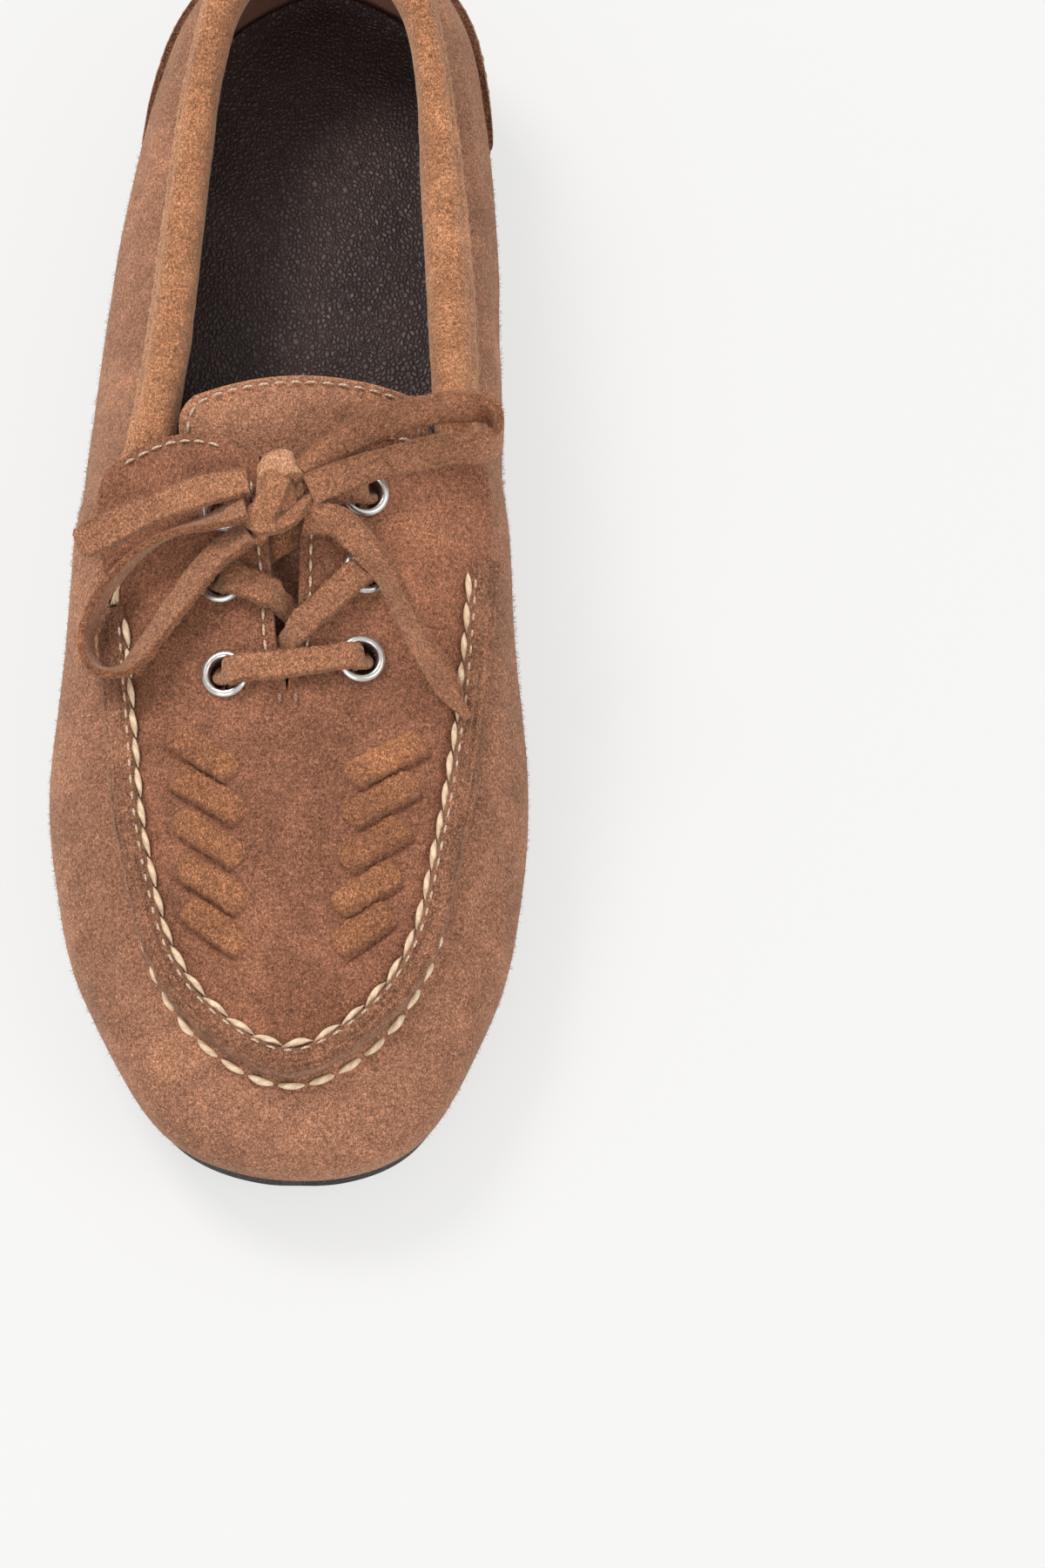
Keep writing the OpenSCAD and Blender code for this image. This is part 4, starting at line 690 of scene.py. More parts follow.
NROW, NCOL = 230, 62
def apron():
    sv = np.linspace(0, 1, NROW)
    uu = 12.992 + (6.55 - 12.992)*sv**1.12
    V = []; tt = np.linspace(0, 1, NCOL)
    eL0 = edge(uu, 0*uu); eR0 = edge(NR - uu, 0*uu)
    yc = 0.5*(eL0[:, 1] + eR0[:, 1])
    ext = sstep((7.95 - uu)/0.45)
    inset = 1.35 - 2.1*ext
    grids = []
    for side in (LATERAL, MEDIAL):
        u = uu if side < 0 else NR - uu
        E = edge(u, inset)
        E[:, 0] += 0.16*vnoise(np.stack([uu*9, 0*uu, 0*uu + side], -1), 1.0, 5)*ext
        C = np.stack([slit_x(side, yc), yc], -1)
        wf = np.clip((9.26 - uu)/(9.26 - 6.55), 0, 1)[:, None]
        bump = 3.2*wf**2*(np.sin(np.pi*np.minimum(1, tt*1.15))[None, :] - 0.9*tt[None, :]**6)
        X = E[:, 0:1] + (C[:, 0:1] - E[:, 0:1])*tt; Y = E[:, 1:2] + (C[:, 1:2] - E[:, 1:2])*tt + bump
        grids.append((X, Y, ext))
    verts, faces, fm, base = [], [], [], 0
    for side, (X, Y, ext) in zip((LATERAL, MEDIAL), grids):
        Q = np.stack([X, Y, 0*X], -1)
        Z = H(X, Y)
        # lift of the free edge of the facing over the quarter
        Z = Z + (0.95*ext[:, None])*np.exp(-(tt[None, :]/0.16)**2)
        Z = Z + 0.32*fbm(Q, 19, 21) + 0.09*fbm(Q, 5.0, 22)
        # channel along the hand stitches, with a slight rise just inside it
        dist = np.hypot(X - grids_edge(side, uu)[:, 0:1], Y - grids_edge(side, uu)[:, 1:2])
        seam = (1 - ext[:, None])
        Z = Z - seam*(0.22*np.exp(-((dist - 1.9)/1.15)**2) - 0.30*np.exp(-((dist - 5.0)/1.8)**2))
        # slits of the woven strips
        for w in (WL if side < 0 else WM):
            a, b, d, s = strip_axes(w); L = np.linalg.norm(b - a)
            al = (X - a[0])*d[0] + (Y - a[1])*d[1]; ac = (X - a[0])*s[0] + (Y - a[1])*s[1]
            on = sstep((al + 0.6)/1.2)*sstep((L + 0.6 - al)/1.2)
            Z = Z - on*(0.80*np.exp(-((ac + 2.95)/0.50)**2)) + on*0.30*np.exp(-(ac/2.8)**2)
        # seat of each eyelet, and slight lift of the slit edges
        for e in (EYL if side < 0 else EYM):
            r = np.hypot(X - e[0], Y - e[1]); Z = Z - 0.16*np.exp(-((r - 5.0)/0.8)**2) + 0.10*np.exp(-((r - 6.8)/1.2)**2)
        sd = np.abs(X - slit_x(side, Y)); op = sstep((Y + 48)/5)
        Z = Z - op*0.30*np.exp(-((sd - 2.0)/0.45)**2) + op*0.22*np.exp(-(sd/0.9)**2)
        # soft folds where the medial facing bends over the instep
        if side > 0:
            for (x0, y0, ang, wid, amp) in ((24, -22, -28, 3.4, -0.75), (21, -29, -30, 3.0, 0.35), (27, -14, -24, 2.6, 0.40)):
                c, s_ = math.cos(math.radians(ang)), math.sin(math.radians(ang))
                al = (X - x0)*c + (Y - y0)*s_; ac = -(X - x0)*s_ + (Y - y0)*c
                Z = Z + amp*np.exp(-(ac/wid)**2 - (al/9.5)**2)
        P = np.stack([X, Y, Z], -1)
        f = grid_faces(NROW, NCOL, base=0, flip=(side < 0))
        cen = P.reshape(-1, 3)[f].mean(1)
        keep = np.ones(len(f), bool)
        Pf = P.reshape(-1, 3)
        for e in (EYL if side < 0 else EYM):
            keep &= np.hypot(cen[:, 0] - e[0], cen[:, 1] - e[1]) > 3.35
            r = np.hypot(Pf[:, 0] - e[0], Pf[:, 1] - e[1])
            near = (r > 2.95) & (r < 3.75)
            k = np.where(near, 3.45/np.maximum(r, 1e-6), 1.0)
            Pf[:, 0] = e[0] + (Pf[:, 0] - e[0])*k; Pf[:, 1] = e[1] + (Pf[:, 1] - e[1])*k
        verts.append(Pf); faces.append(f[keep] + base); base += len(Pf)
    V = np.concatenate(verts); F = np.concatenate(faces)
    # join the halves along the middle in front of the slit
    n0 = NROW*NCOL
    mid = np.arange(NROW)*NCOL + NCOL - 1
    joined = yc <= -46.5
    remap = np.arange(len(V))
    for i in range(NROW):
        if joined[i]:
            V[mid[i]] = 0.5*(V[mid[i]] + V[n0 + mid[i]]); remap[n0 + mid[i]] = mid[i]
    F = remap[F]
    used = np.unique(F); new = -np.ones(len(V), int); new[used] = np.arange(len(used))
    me = make("apron_suede", V[used], new[F], [M_apron, M_raw], slot="suede", replaces=("apron",), sharp=0)
    m = me.modifiers.new("thick", "SOLIDIFY"); m.thickness = suede_t*MM; m.offset = -1; m.use_even_offset = False
    m.material_offset = 1; m.material_offset_rim = 1; m.use_quality_normals = True
    apply_mods(me)
    me.data.set_sharp_from_angle(angle=math.radians(55))
    rng = np.random.default_rng(35); P = np.concatenate([v[:-NCOL*2] for v in verts]); P = P[rng.integers(0, len(P), 7000)] + rng.normal(size=(7000, 3))*[0.35, 0.35, 0]
    P[:, 2] += 0.02
    free = np.ones(len(P), bool)
    for e in np.concatenate([EYL, EYM]):
        free &= np.hypot(P[:, 0] - e[0], P[:, 1] - e[1]) > 5.2
    for side in (-1, 1):
        free &= (np.abs(P[:, 0] - slit_x(side, P[:, 1])) > 0.9) | (P[:, 1] < -47)
    P = P[free]; N = np.array(nH(P[:, 0], P[:, 1])); N = N if N.shape[-1] == 3 else N.T
    fibres("apron_nap", P, N + np.array([0.0, -0.5, 0]), M_apronnap, length=0.42, rad=0.035, jitter=0.7, seed=36, slot="suede")

def grids_edge(side, uu):
    return edge(uu if side < 0 else NR - uu, 1.35)

def apply_mods(o):
    bpy.context.view_layer.update()
    dg = bpy.context.evaluated_depsgraph_get()
    me = bpy.data.meshes.new_from_object(o.evaluated_get(dg))
    o.modifiers.clear(); o.data = me
apron()

# ------------------------------------------------------------------ raised seam round the apron
def welt():
    us = np.linspace(8.0, 18.4, 900)
    t = T3(us); n = outn(us); h = welt_w/2
    c = [(-h - 0.3, -0.9), (-h - 0.62, 0.25), (-h - 0.45, 0.9), (-h - 0.22, 1.55), (-h + 0.10, 2.15), (-h + 0.50, 2.56), (-h + 0.95, 2.72), (-h + 1.25, 2.58), (-h + 1.50, 2.76),
         (-0.35, 2.88), (0.15, 2.86), (0.42, 2.68), (0.72, 2.84), (1.15, 2.80), (1.50, 2.62), (1.72, 2.36), (2.0, 2.45), (2.25, 2.15), (2.42, 1.7), (2.46, 1.1), (2.40, 0.4), (2.30, -0.5), (2.3, -1.4), (0.4, -1.5)]
    c = np.array(c)
    s = arclen(t)
    m = len(us)
    off = np.broadcast_to(c[:, 0], (m, len(c))).copy(); hh = np.broadcast_to(c[:, 1], (m, len(c))).copy()
    q = np.stack([np.broadcast_to(s[:, None], off.shape), off*1.5, hh*1.5], -1)
    top = (c[:, 1] > 1.0)
    sc = np.abs(np.sin(np.pi*s/5.8))[:, None]
    outer = np.clip((c[:, 0] - 1.2)/1.2, 0, 1)[None, :]
    toe = (sstep((us - 9.0)/2.0)*sstep((17.0 - us)/2.0))[:, None]
    off += outer*(0.42*sc - 0.20)*(0.45 + 0.55*toe) - np.clip((c[:, 0] - 0.2)/2.2, 0, 1)[None, :]*0.55*toe
    hh -= outer*0.25*(1 - sc)*toe
    hh -= np.clip((c[:, 0] - 0.1)/2.2, 0, 1)[None, :]*0.95*(1 - toe)*top
    off += top*0.14*vnoise(q, 0.7, 51); hh += top*(0.17*vnoise(q*[1, 1, 0.2], 0.75, 52) + 0.12*vnoise(q*[0.35, 1, 0], 1.3, 53))
    hh += top*0.10*vnoise(q*[1, 0, 0], 6, 54)
    fade = np.minimum(sstep((us - 7.95)/1.1), sstep((18.45 - us)/0.5))[:, None]
    hh = np.where(top, hh*(0.30 + 0.70*fade), hh)
    x = t[:, 0:1] + n[:, 0:1]*off; y = t[:, 1:2] + n[:, 1:2]*off
    xr = t[:, 0:1] + n[:, 0:1]*np.minimum(off, 0.5); yr = t[:, 1:2] + n[:, 1:2]*np.minimum(off, 0.5)
    P = np.stack([x, y, H(xr, yr) + hh], -1)[:, ::-1]
    uv = np.stack([np.broadcast_to(s[:, None]/10, off.shape), np.broadcast_to(np.linspace(0, 1, len(c)), off.shape)], -1)[:, ::-1]
    make("apron_seam_ridge", P.reshape(-1, 3), tube_parts(P), [M_welt], uv=uv.reshape(-1, 2), slot="suede_edge", replaces=("apron_welt",), sharp=0)
    rng = np.random.default_rng(57); i = rng.integers(10, m - 10, 3600); j = rng.choice([3, 4, 5, 8, 9, 14, 15, 16, 17, 18], 3600)
    Q = P[:, ::-1][i, j]; N = np.stack([n[i, 0]*np.sign(off[i, j]), n[i, 1]*np.sign(off[i, j]), 0*i + 1.2], -1)
    fibres("apron_ridge_nap", Q, N, M_ridgenap, length=0.55, rad=0.04, jitter=0.7, seed=58, slot="suede_edge")
welt()

def wraps():
    # thread end tied off at the lateral end of the seam, frayed
    t = T3(7.9); n = outn(7.9); e = np.array([n[1], -n[0]]); rng = np.random.default_rng(7)
    A, B = [], []
    for i in (-1.0, -0.2, 0.6, 1.2):
        p = t[:2] - e*(1.5 + 0.3*rng.random()) - n*(1.4 + 0.6*i); q = t[:2] + e*(1.7 + 0.5*rng.random()) - n*(1.9 - 0.35*i)
        A.append([p[0], p[1], float(H(p[0], p[1])) + 0.75]); B.append([q[0], q[1], float(H(q[0], q[1])) + 0.6])
    spindles("seam_thread_end", np.array(A), np.array(B), (0, 0, 1), 0.30, 0.35, M_thread, "seam_wraps", 13, 10, 0.40, 0.10, 0.3)
    A, B = np.array(A), np.array(B); P = np.concatenate([A + (B - A)*f for f in np.linspace(0, 1, 9)])
    fibres("seam_thread_fray", P + rng.normal(size=P.shape)*0.15, np.concatenate([(A - B)*0.5 + [0, 0, 1.5]]*4 + [(B - A)*0.5 + [0, 0, 1.5]]*5), M_thread, length=0.8, rad=0.04, jitter=0.7, seed=15, slot="thread")
wraps()

# ------------------------------------------------------------------ strips woven through the apron
def weave(name, W, node, seed):
    V, F, UV = [], [], []; base = 0
    c = np.array([-1, -1.04, -0.98, -0.86, -0.62, -0.3, 0.05, 0.4, 0.7, 0.9, 1.0, 0.9, 0.3, -0.5])
    hgt = np.array([-0.4, 0.50, 1.12, 1.36, 1.42, 1.34, 1.16, 0.90, 0.60, 0.34, 0.06, -0.5, -0.5, -0.5])
    for k, w in enumerate(W):
        a, b, d, s = strip_axes(w); L = np.linalg.norm(b - a); n = 76
        t = np.linspace(-0.02, 1.02, n)
        end = np.sqrt(np.clip(1 - np.clip(np.abs(2*t - 1) - 0.80, 0, None)**2/0.24**2, 0.03, 1))
        dive = sstep((t + 0.02)/0.10)*sstep((1.02 - t)/0.10)
        along = a + (b - a)*t[:, None]
        C = c[None, :]*end[:, None]
        q = np.stack(np.broadcast_arrays((t*L)[:, None], c[None, :]*2.1, 0*C + k*9), -1)
        edg = np.clip((np.abs(c) - 0.75)/0.25, 0, 1)[None, :]
        acr = C*2.65 + edg*np.sign(c)*(0.24*vnoise(q, 0.5, seed) + 0.20*vnoise(q, 1.4, seed + 1))
        X = along[:, 0:1] + s[0]*acr; Y = along[:, 1:2] + s[1]*acr
        up = hgt[None, :]*(0.30 + 0.70*dive[:, None]) + (hgt[None, :] > 0)*(0.12*vnoise(q, 0.8, seed + 2) + 0.10*vnoise(q, 3, seed + 3))
        R = np.stack([X, Y, H(X, Y) + up], -1)
        if np.cross(np.append(d, 0), np.append(s, 0))[2] > 0:
            R = R[:, ::-1]
        V.append(R.reshape(-1, 3)); F += tube_parts(R, base); base += R.shape[0]*R.shape[1]
    V = np.concatenate(V)
    make(name, V, F, [M_weave], slot="suede_light", replaces=(node,), sharp=65)
    rng = np.random.default_rng(seed + 7); k = V.reshape(-1, len(c), 3); i = rng.integers(2, len(k) - 2, 1400)
    up = np.argmax(k[:, :, 2] - H(k[:, :, 0], k[:, :, 1]), axis=1)[i]
    j = np.clip(up + rng.integers(-3, 4, 1400), 0, len(c) - 1); Q = k[i, j]
    seen = Q[:, 2] > H(Q[:, 0], Q[:, 1]) + 0.3; Q = Q[seen]; mid = k[i, up][seen]
    fibres(name + "_nap", Q, (Q - mid)*[1, 1, 0] + [0, 0, 0.7], M_strapnap, length=0.5, rad=0.04, jitter=0.6, seed=seed + 8, slot="suede_light")
weave("weave_strips_lateral", WL, "weave_lateral", 61)
weave("weave_strips_medial", WM, "weave_medial", 71)

# ------------------------------------------------------------------ eyelets
def eyelets(name, E, node):
    ri, ro = 2.95, 4.5
    prof = [(ri, -3.2), (ri, -1.2), (ri, 0.0), (ri + 0.03, 0.4), (ri + 0.12, 0.66), (ri + 0.28, 0.84), (ri + 0.50, 0.95), (ri + 0.78, 0.97), (ri + 1.05, 0.88), (ri + 1.28, 0.70),
            (ro - 0.08, 0.50), (ro, 0.32), (ro - 0.05, 0.18), (ro - 0.2, 0.10), (ri + 0.5, 0.1), (ri + 0.45, -1.0), (ri + 0.45, -3.0), (ri + 0.3, -3.25), (ri + 0.1, -3.3)]
    prof = np.array(prof); n = 72; g = 2*np.pi*np.arange(n)/n
    V, F, base = [], [], 0
    for e in E:
        z = unit(np.array(nH(e[0], e[1]))); x = unit(np.cross(np.array([0, 1.0, 0]), z)); y = np.cross(z, x)
        o = np.array([e[0], e[1], float(H(e[0], e[1]))])
        R = o + x*(prof[None, :, 0]*np.cos(g)[:, None])[..., None] + y*(prof[None, :, 0]*np.sin(g)[:, None])[..., None] + z*np.broadcast_to(prof[:, 1], (n, len(prof)))[..., None]
        V.append(R.reshape(-1, 3)); F.append(grid_faces(n, len(prof), True, True, base)); base += n*len(prof)
    make(name, np.concatenate(V), np.concatenate(F), [M_metal], slot="metal", replaces=(node,), sharp=0)
eyelets("eyelet_rings_lateral", EYL, "eyelets_lateral")
eyelets("eyelet_rings_medial", EYM, "eyelets_medial")

# ------------------------------------------------------------------ machine stitches on the facings, tongue, collar and heel patch
def rows(name, paths, pitch, L, r, mat, node, up=(0, 0, 1), slot="thread", body="shoe"):
    A, B = [], []
    for P in paths:
        a, b = stitch_points(np.asarray(P, float), pitch, L); A.append(a); B.append(b)
    return spindles(name, np.concatenate(A), np.concatenate(B), up, r, 0.14, mat, node, 8, 8, 0.35, 0.05, 0.22, body=body, slot=slot, plies=2)
paths = []
for s in (-1, 1):
    y = -43 + 36*np.arange(41)/40; x = slit_x(s, y) + s*2
    paths.append(np.stack([x, y, H(x, y) + 0.22], -1))
for s in (-1, 1):
    i = 0.05 + 0.76*np.arange(49)/48; e = edge(np.array([6.55 if s < 0 else NR - 6.55]), np.array([-0.75 + 0.3]))[0]
    x = e[0] + (slit_x(s, e[1]) - e[0])*i; y = e[1] + 3.2*(np.sin(np.pi*np.minimum(1, i*1.15)) - 0.9*i**6) - 1.5
    paths.append(np.stack([x, y, H(x, y) + 0.40 + 0.95*np.exp(-(i/0.16)**2)], -1))
rows("facing_stitch_rows", paths, 3.0, 2.3, 0.27, M_fine, "facing_stitches")
pts = np.array([[x, y, float(H(x, y)) + 0.4] for x in (-0.8, 2.2) for y in (-48.6, -46.6)])
spindles("bar_tack_threads", pts[0::2], pts[1::2], (0, 0, 1), 0.36, 0.2, M_bar, "bar_tack", 9, 8, 0.4, 0.05, 0.2)

us = -2.95 + 5.9*np.arange(161)/160; v = patch_top(us) - 0.05
P = S(us, v) + nS(us, v)*(0.14 + suede_t)
a, b = stitch_points(P, 3.4, 2.3)
um = np.interp(np.arange(len(a)), [0, len(a) - 1], [-2.9, 2.9])
spindles("heel_patch_stitch_row", a, b, nS(um, patch_top(um) - 0.05), 0.25, 0.1, M_tone, "heel_patch_stitches", 8, 8, 0.35, 0.05, 0.2, plies=2)

# ------------------------------------------------------------------ tongue, on its own body
TY = [[-51, 4.4], [-49, 6], [-46.5, 7.2], [-43, 7.3], [-10, 7], [2, 5.7], [13.3, 3.3]]
TW = [[-51, 10], [-44, 16], [-25, 21], [0, 23], [9, 23.4], [11.8, 22.6], [13.4, 20.4]]
def tongue_grid(d, n=120, m=70, rag=0.0, seed=1):
    ys = -51 + 64.3*(1 - (1 - np.arange(n + 1)/n)**1.35)
    j = np.linspace(-1, 1, m)
    X = 3 + hz(TW, ys)[:, None]*j[None, :]
    Y = ys[:, None] - np.where(ys[:, None] > 0, 0.0046*ys[:, None]/11*(X - 3)**2, 0)
    Z = H(X*0.92, Y) - hz(TY, ys)[:, None] - d
    return X, Y, Z, j, ys
def tongue():
    X, Y, Z, j, ys = tongue_grid(0)
    Q = np.stack([X, Y, 0*X], -1)
    e = np.minimum((1 - np.abs(j))[None, :]*35, (ys[-1] - ys)[:, None]/0.5); e = np.clip(e, 0, 1)
    g = (ys[:, None] - 11.8) + 0*X
    Zt = Z + 0.30*fbm(Q, 15, 81) - 0.32*(1 - e)**2 - 0.22*np.exp(-(g/0.45)**2) + 0.10*np.exp(-((g - 1.2)/0.6)**2)
    A = np.stack([X, Y, Zt], -1); B = np.stack([X, Y, Z - 1.4], -1)
    shell("tongue_suede", A, B, [M_tongue, M_raw, M_raw], flip=True, slot="suede", body="tongue", replaces=("tongue",), sharp=50)
    A2 = np.stack([X, Y, Z - 1.45], -1); B2 = np.stack([X, Y, Z - 2.3 + 0.1*fbm(Q, 9, 83)], -1)
    shell("tongue_lining_leather", A2, B2, [M_lining, M_lining, M_lining], flip=True, slot="lining", body="tongue", replaces=("tongue_lining",), sharp=50)
tongue()
TS = np.array([[-21.6, 4.5], [-21.6, 8], [-20.4, 10.6], [-17.5, 11.7], [-9, 11.9], [0, 11.9], [9, 11.9], [17.5, 11.7], [20.4, 10.6], [21.6, 8], [21.6, 4.5]], float)
q = rdo(TS, np.arange(101)/10); x = q[:, 0] + 3; y = q[:, 1] - 0.0046*q[:, 1]/11*q[:, 0]**2
P = np.stack([x, y, H(x*0.92, y) - hz(TY, q[:, 1]) + 0.30], -1)
rows("tongue_stitch_row", [P], 3.0, 2.2, 0.27, M_fine, "tongue_stitches", body="tongue")

# ------------------------------------------------------------------ padded collar
COL = np.array([[5, 108.5, 59.5], [-3.5, 106.5, 58.5], [-10.5, 99, 55.5], [-14.2, 84, 52], [-16.5, 60, 50], [-18.6, 30, 51], [-21, 7, 54], [-22.5, -8, 56]], float)
COR = np.array([[5, 108.5, 59.5], [13, 106.5, 58.5], [20, 99, 55.5], [23.2, 84, 52], [24.4, 60, 50], [26, 30, 51], [27.4, 7, 54], [28.2, -8, 56]], float)
def coin(u):
    if abs(u) < 0.001: return COL[0]
    if u > 0: return cr(COR[1], COL[0], COL[1], COL[2], u) if u < 1 else rdo(COL, u)
    return cr(COL[1], COR[0], COR[1], COR[2], -u) if u > -1 else rdo(COR, -u)
def cosec(u):
    t = T3(NR + u if u < 0 else u); c = coin(u); d = np.array([t[0] - c[0], t[1] - c[1], 0]); w = np.linalg.norm(d)/2
    return np.array([(t[0] + c[0])/2, (t[1] + c[1])/2, c[2] - 5]), unit(d), w
def collar():
    us = np.linspace(-6.62, 6.62, 620); na = 46
    ang = np.radians(np.linspace(-40, 222, na))
    A, B = [], []
    sec = [cosec(u) for u in us]
    C = np.array([s[0] for s in sec]); D = np.array([s[1] for s in sec]); W = np.array([s[2] for s in sec])
    ca, sa = np.cos(ang)[None, :], np.sin(ang)[None, :]
    full = np.sign(ca)*np.abs(ca)**0.86, np.sign(sa)*np.abs(sa)**0.92
    front = sstep((np.abs(us) - 5.72)/0.62)[:, None]          # tucks under the facings
    high = 5.0*(1 - 0.42*front)
    X = (W[:, None] - 0.15)*full[0]; Z = high*full[1]
    P = C[:, None] + D[:, None]*X[..., None]; P[..., 2] += Z
    P[..., 2] -= 3.4*front
    s = arclen(C)[:, None]
    q = np.stack(np.broadcast_arrays(s, X, Z), -1)
    N = D[:, None]*(ca/np.maximum(W[:, None], 1))[..., None]; N = N + np.array([0, 0, 1.0])*(sa/5.0)[..., None]; N = unit(N)
    d = 0.26*fbm(P, 13, 91) + 0.16*fbm(P, 4.2, 92)
    # crease along the outer third, and the seam at the bottom edge
    a0 = np.radians(38); d = d - 0.42*np.exp(-((ang[None, :] - a0)/0.16)**2)*(1 + 0.3*np.sin(s*0.11))
    d = d - 0.30*np.exp(-((ang[None, :] - np.radians(-14))/0.10)**2)
    d = d + 0.20*np.exp(-((ang[None, :] - np.radians(78))/0.35)**2)
    A = P + N*d[..., None]; B = P - N*1.1
    o = shell("collar_padded", A, B, [M_wing, M_raw, M_raw], flip=True, slot="suede_light", replaces=("collar",), sharp=60)
    g = 2*np.pi*np.arange(24)/24
    uf = np.linspace(-5.6, 5.6, 170); sec = [cosec(u) for u in uf]
    R = np.array([[s_[0] + s_[1]*(s_[2] - 1.6)*math.cos(x_) + np.array([0, 0, 3.5*math.sin(x_)]) for x_ in g] for s_ in sec])
    R += 0.12*fbm(R, 4, 95)[..., None]*unit(R - R.mean(1, keepdims=True))
    o = make("collar_foam_core", R.reshape(-1, 3), tube_parts(R), [M_foam], slot="foam", replaces=("collar_foam",), sharp=0)
    un = np.linspace(-6.1, 6.1, 321); sec = [cosec(u) for u in un]
    a14 = math.radians(-14)
    P = np.array([s_[0] + s_[1]*(s_[2] + 0.02)*abs(math.cos(a14))**0.86 + np.array([0, 0, 5.0*math.sin(a14)]) for s_ in sec])
    a, b = stitch_points(P, 3.6, 2.5)
    k = np.clip(np.round(np.linspace(2, 318, len(a))).astype(int), 0, 320)
    Up = np.array([sec[i][1]*0.95 + np.array([0, 0, 0.3]) for i in k])
    spindles("collar_stitch_row", a, b, Up, 0.25, 0.10, M_tone, "collar_stitches", 8, 8, 0.35, 0.05, 0.2, plies=2)
collar()

# ------------------------------------------------------------------ lace through the eyelets, and the knot
LA = [[4.1, -12.5, 3.1, 16], [8, -11.3, 2.6, 14], [13.2, -10.2, 1.9, 10], [14.9, -10, 0.2, 10], [14.6, -10.4, -2.6, 200], [12.2, -11.8, -3.65, 208],
      [1, -16.8, -3.65, 204], [-9, -23.1, -3.65, 212], [-11.3, -25, -2.4, 210], [-11.8, -25.5, 0.2, 340], [-10, -26.1, 1.9, 340], [-5, -28, 1.6, 340],
      [-2.2, -29.3, 1.2, 338], [0.1, -30.5, -1.4, 334], [2.4, -31.8, -3.9, 330], [5, -33.6, -3.9, 326], [11.4, -37.9, -3.6, 325], [13.8, -39.6, -2.2, 325], [14.2, -40, 0.4, 185],
      [12, -40.2, 1.9, 186], [7, -41, 1.6, 188], [1.6, -41.8, 1.5, 187], [-4, -42.3, 1.6, 184], [-8.8, -42.6, 1.9, 182], [-11, -42.8, 0.4, 180],
      [-10.8, -42.5, -2.3, 20], [-8.6, -41.4, -5.1, 24], [-4, -39.8, -5.1, 22], [-1.8, -38.8, -4.4, 26], [0.5, -37.2, -1.2, 32], [3, -35, 1.6, 38], [8, -30.4, 1.6, 42],
      [13.2, -25.4, 1.9, 44], [15, -23.9, 0.2, 60], [14.7, -23.6, -3, 150], [12.4, -22.7, -5.2, 152], [1, -17.2, -5.2, 156], [-8.6, -13.6, -5.2, 160], [-10.8, -12.9, -3, 165],
      [-11, -12.6, 0.2, 350], [-9.7, -13.1, 1.6, 352], [-8.2, -13.4, 1.6, 350], [-7, -13.6, 1.7, 350]]
def on_apron(p):
    return np.stack([p[:, 0], p[:, 1], H(p[:, 0], p[:, 1]) + p[:, 2]], -1)
def laced():
    P = np.array(LA, float); n = 820; u = (len(P) - 1)*np.arange(n + 1)/n
    p = rdo(P, u); C = on_apron(p)
    ca = on_apron(rdo(P, np.maximum(0, u - 0.04))); cb = on_apron(rdo(P, np.minimum(len(P) - 1, u + 0.04)))
    g = np.radians(p[:, 3]); s = np.stack([-np.sin(g), np.cos(g), 0*g], -1)
    tn = unit(cb - ca); s2 = unit(s - tn*(s*tn).sum(1, keepdims=True)); up = np.cross(tn, s2)
    R, uv = band(C, s2, up, lace_w, lace_t, 22, 0.20, 0.09, 101)
    slim = 0.80 + 0.20*sstep((p[:, 2] - 0.3)/1.2)
    x = ((R - C[:, None])*s2[:, None]).sum(-1, keepdims=True)
    R = R + s2[:, None]*x*(slim[:, None, None] - 1)
    make("lace_laced_band", R.reshape(-1, 3), tube_parts(R), [M_lace], uv=uv.reshape(-1, 2), slot="lace", replaces=("lace_laced",), sharp=60)
    seen = np.nonzero(p[:, 2] > 0.6)[0]
    edge_fibres("lace_laced_nap", R[seen], C[seen], s2[seen], M_nap, 2200, 105, length=0.7, jitter=0.75)
laced()

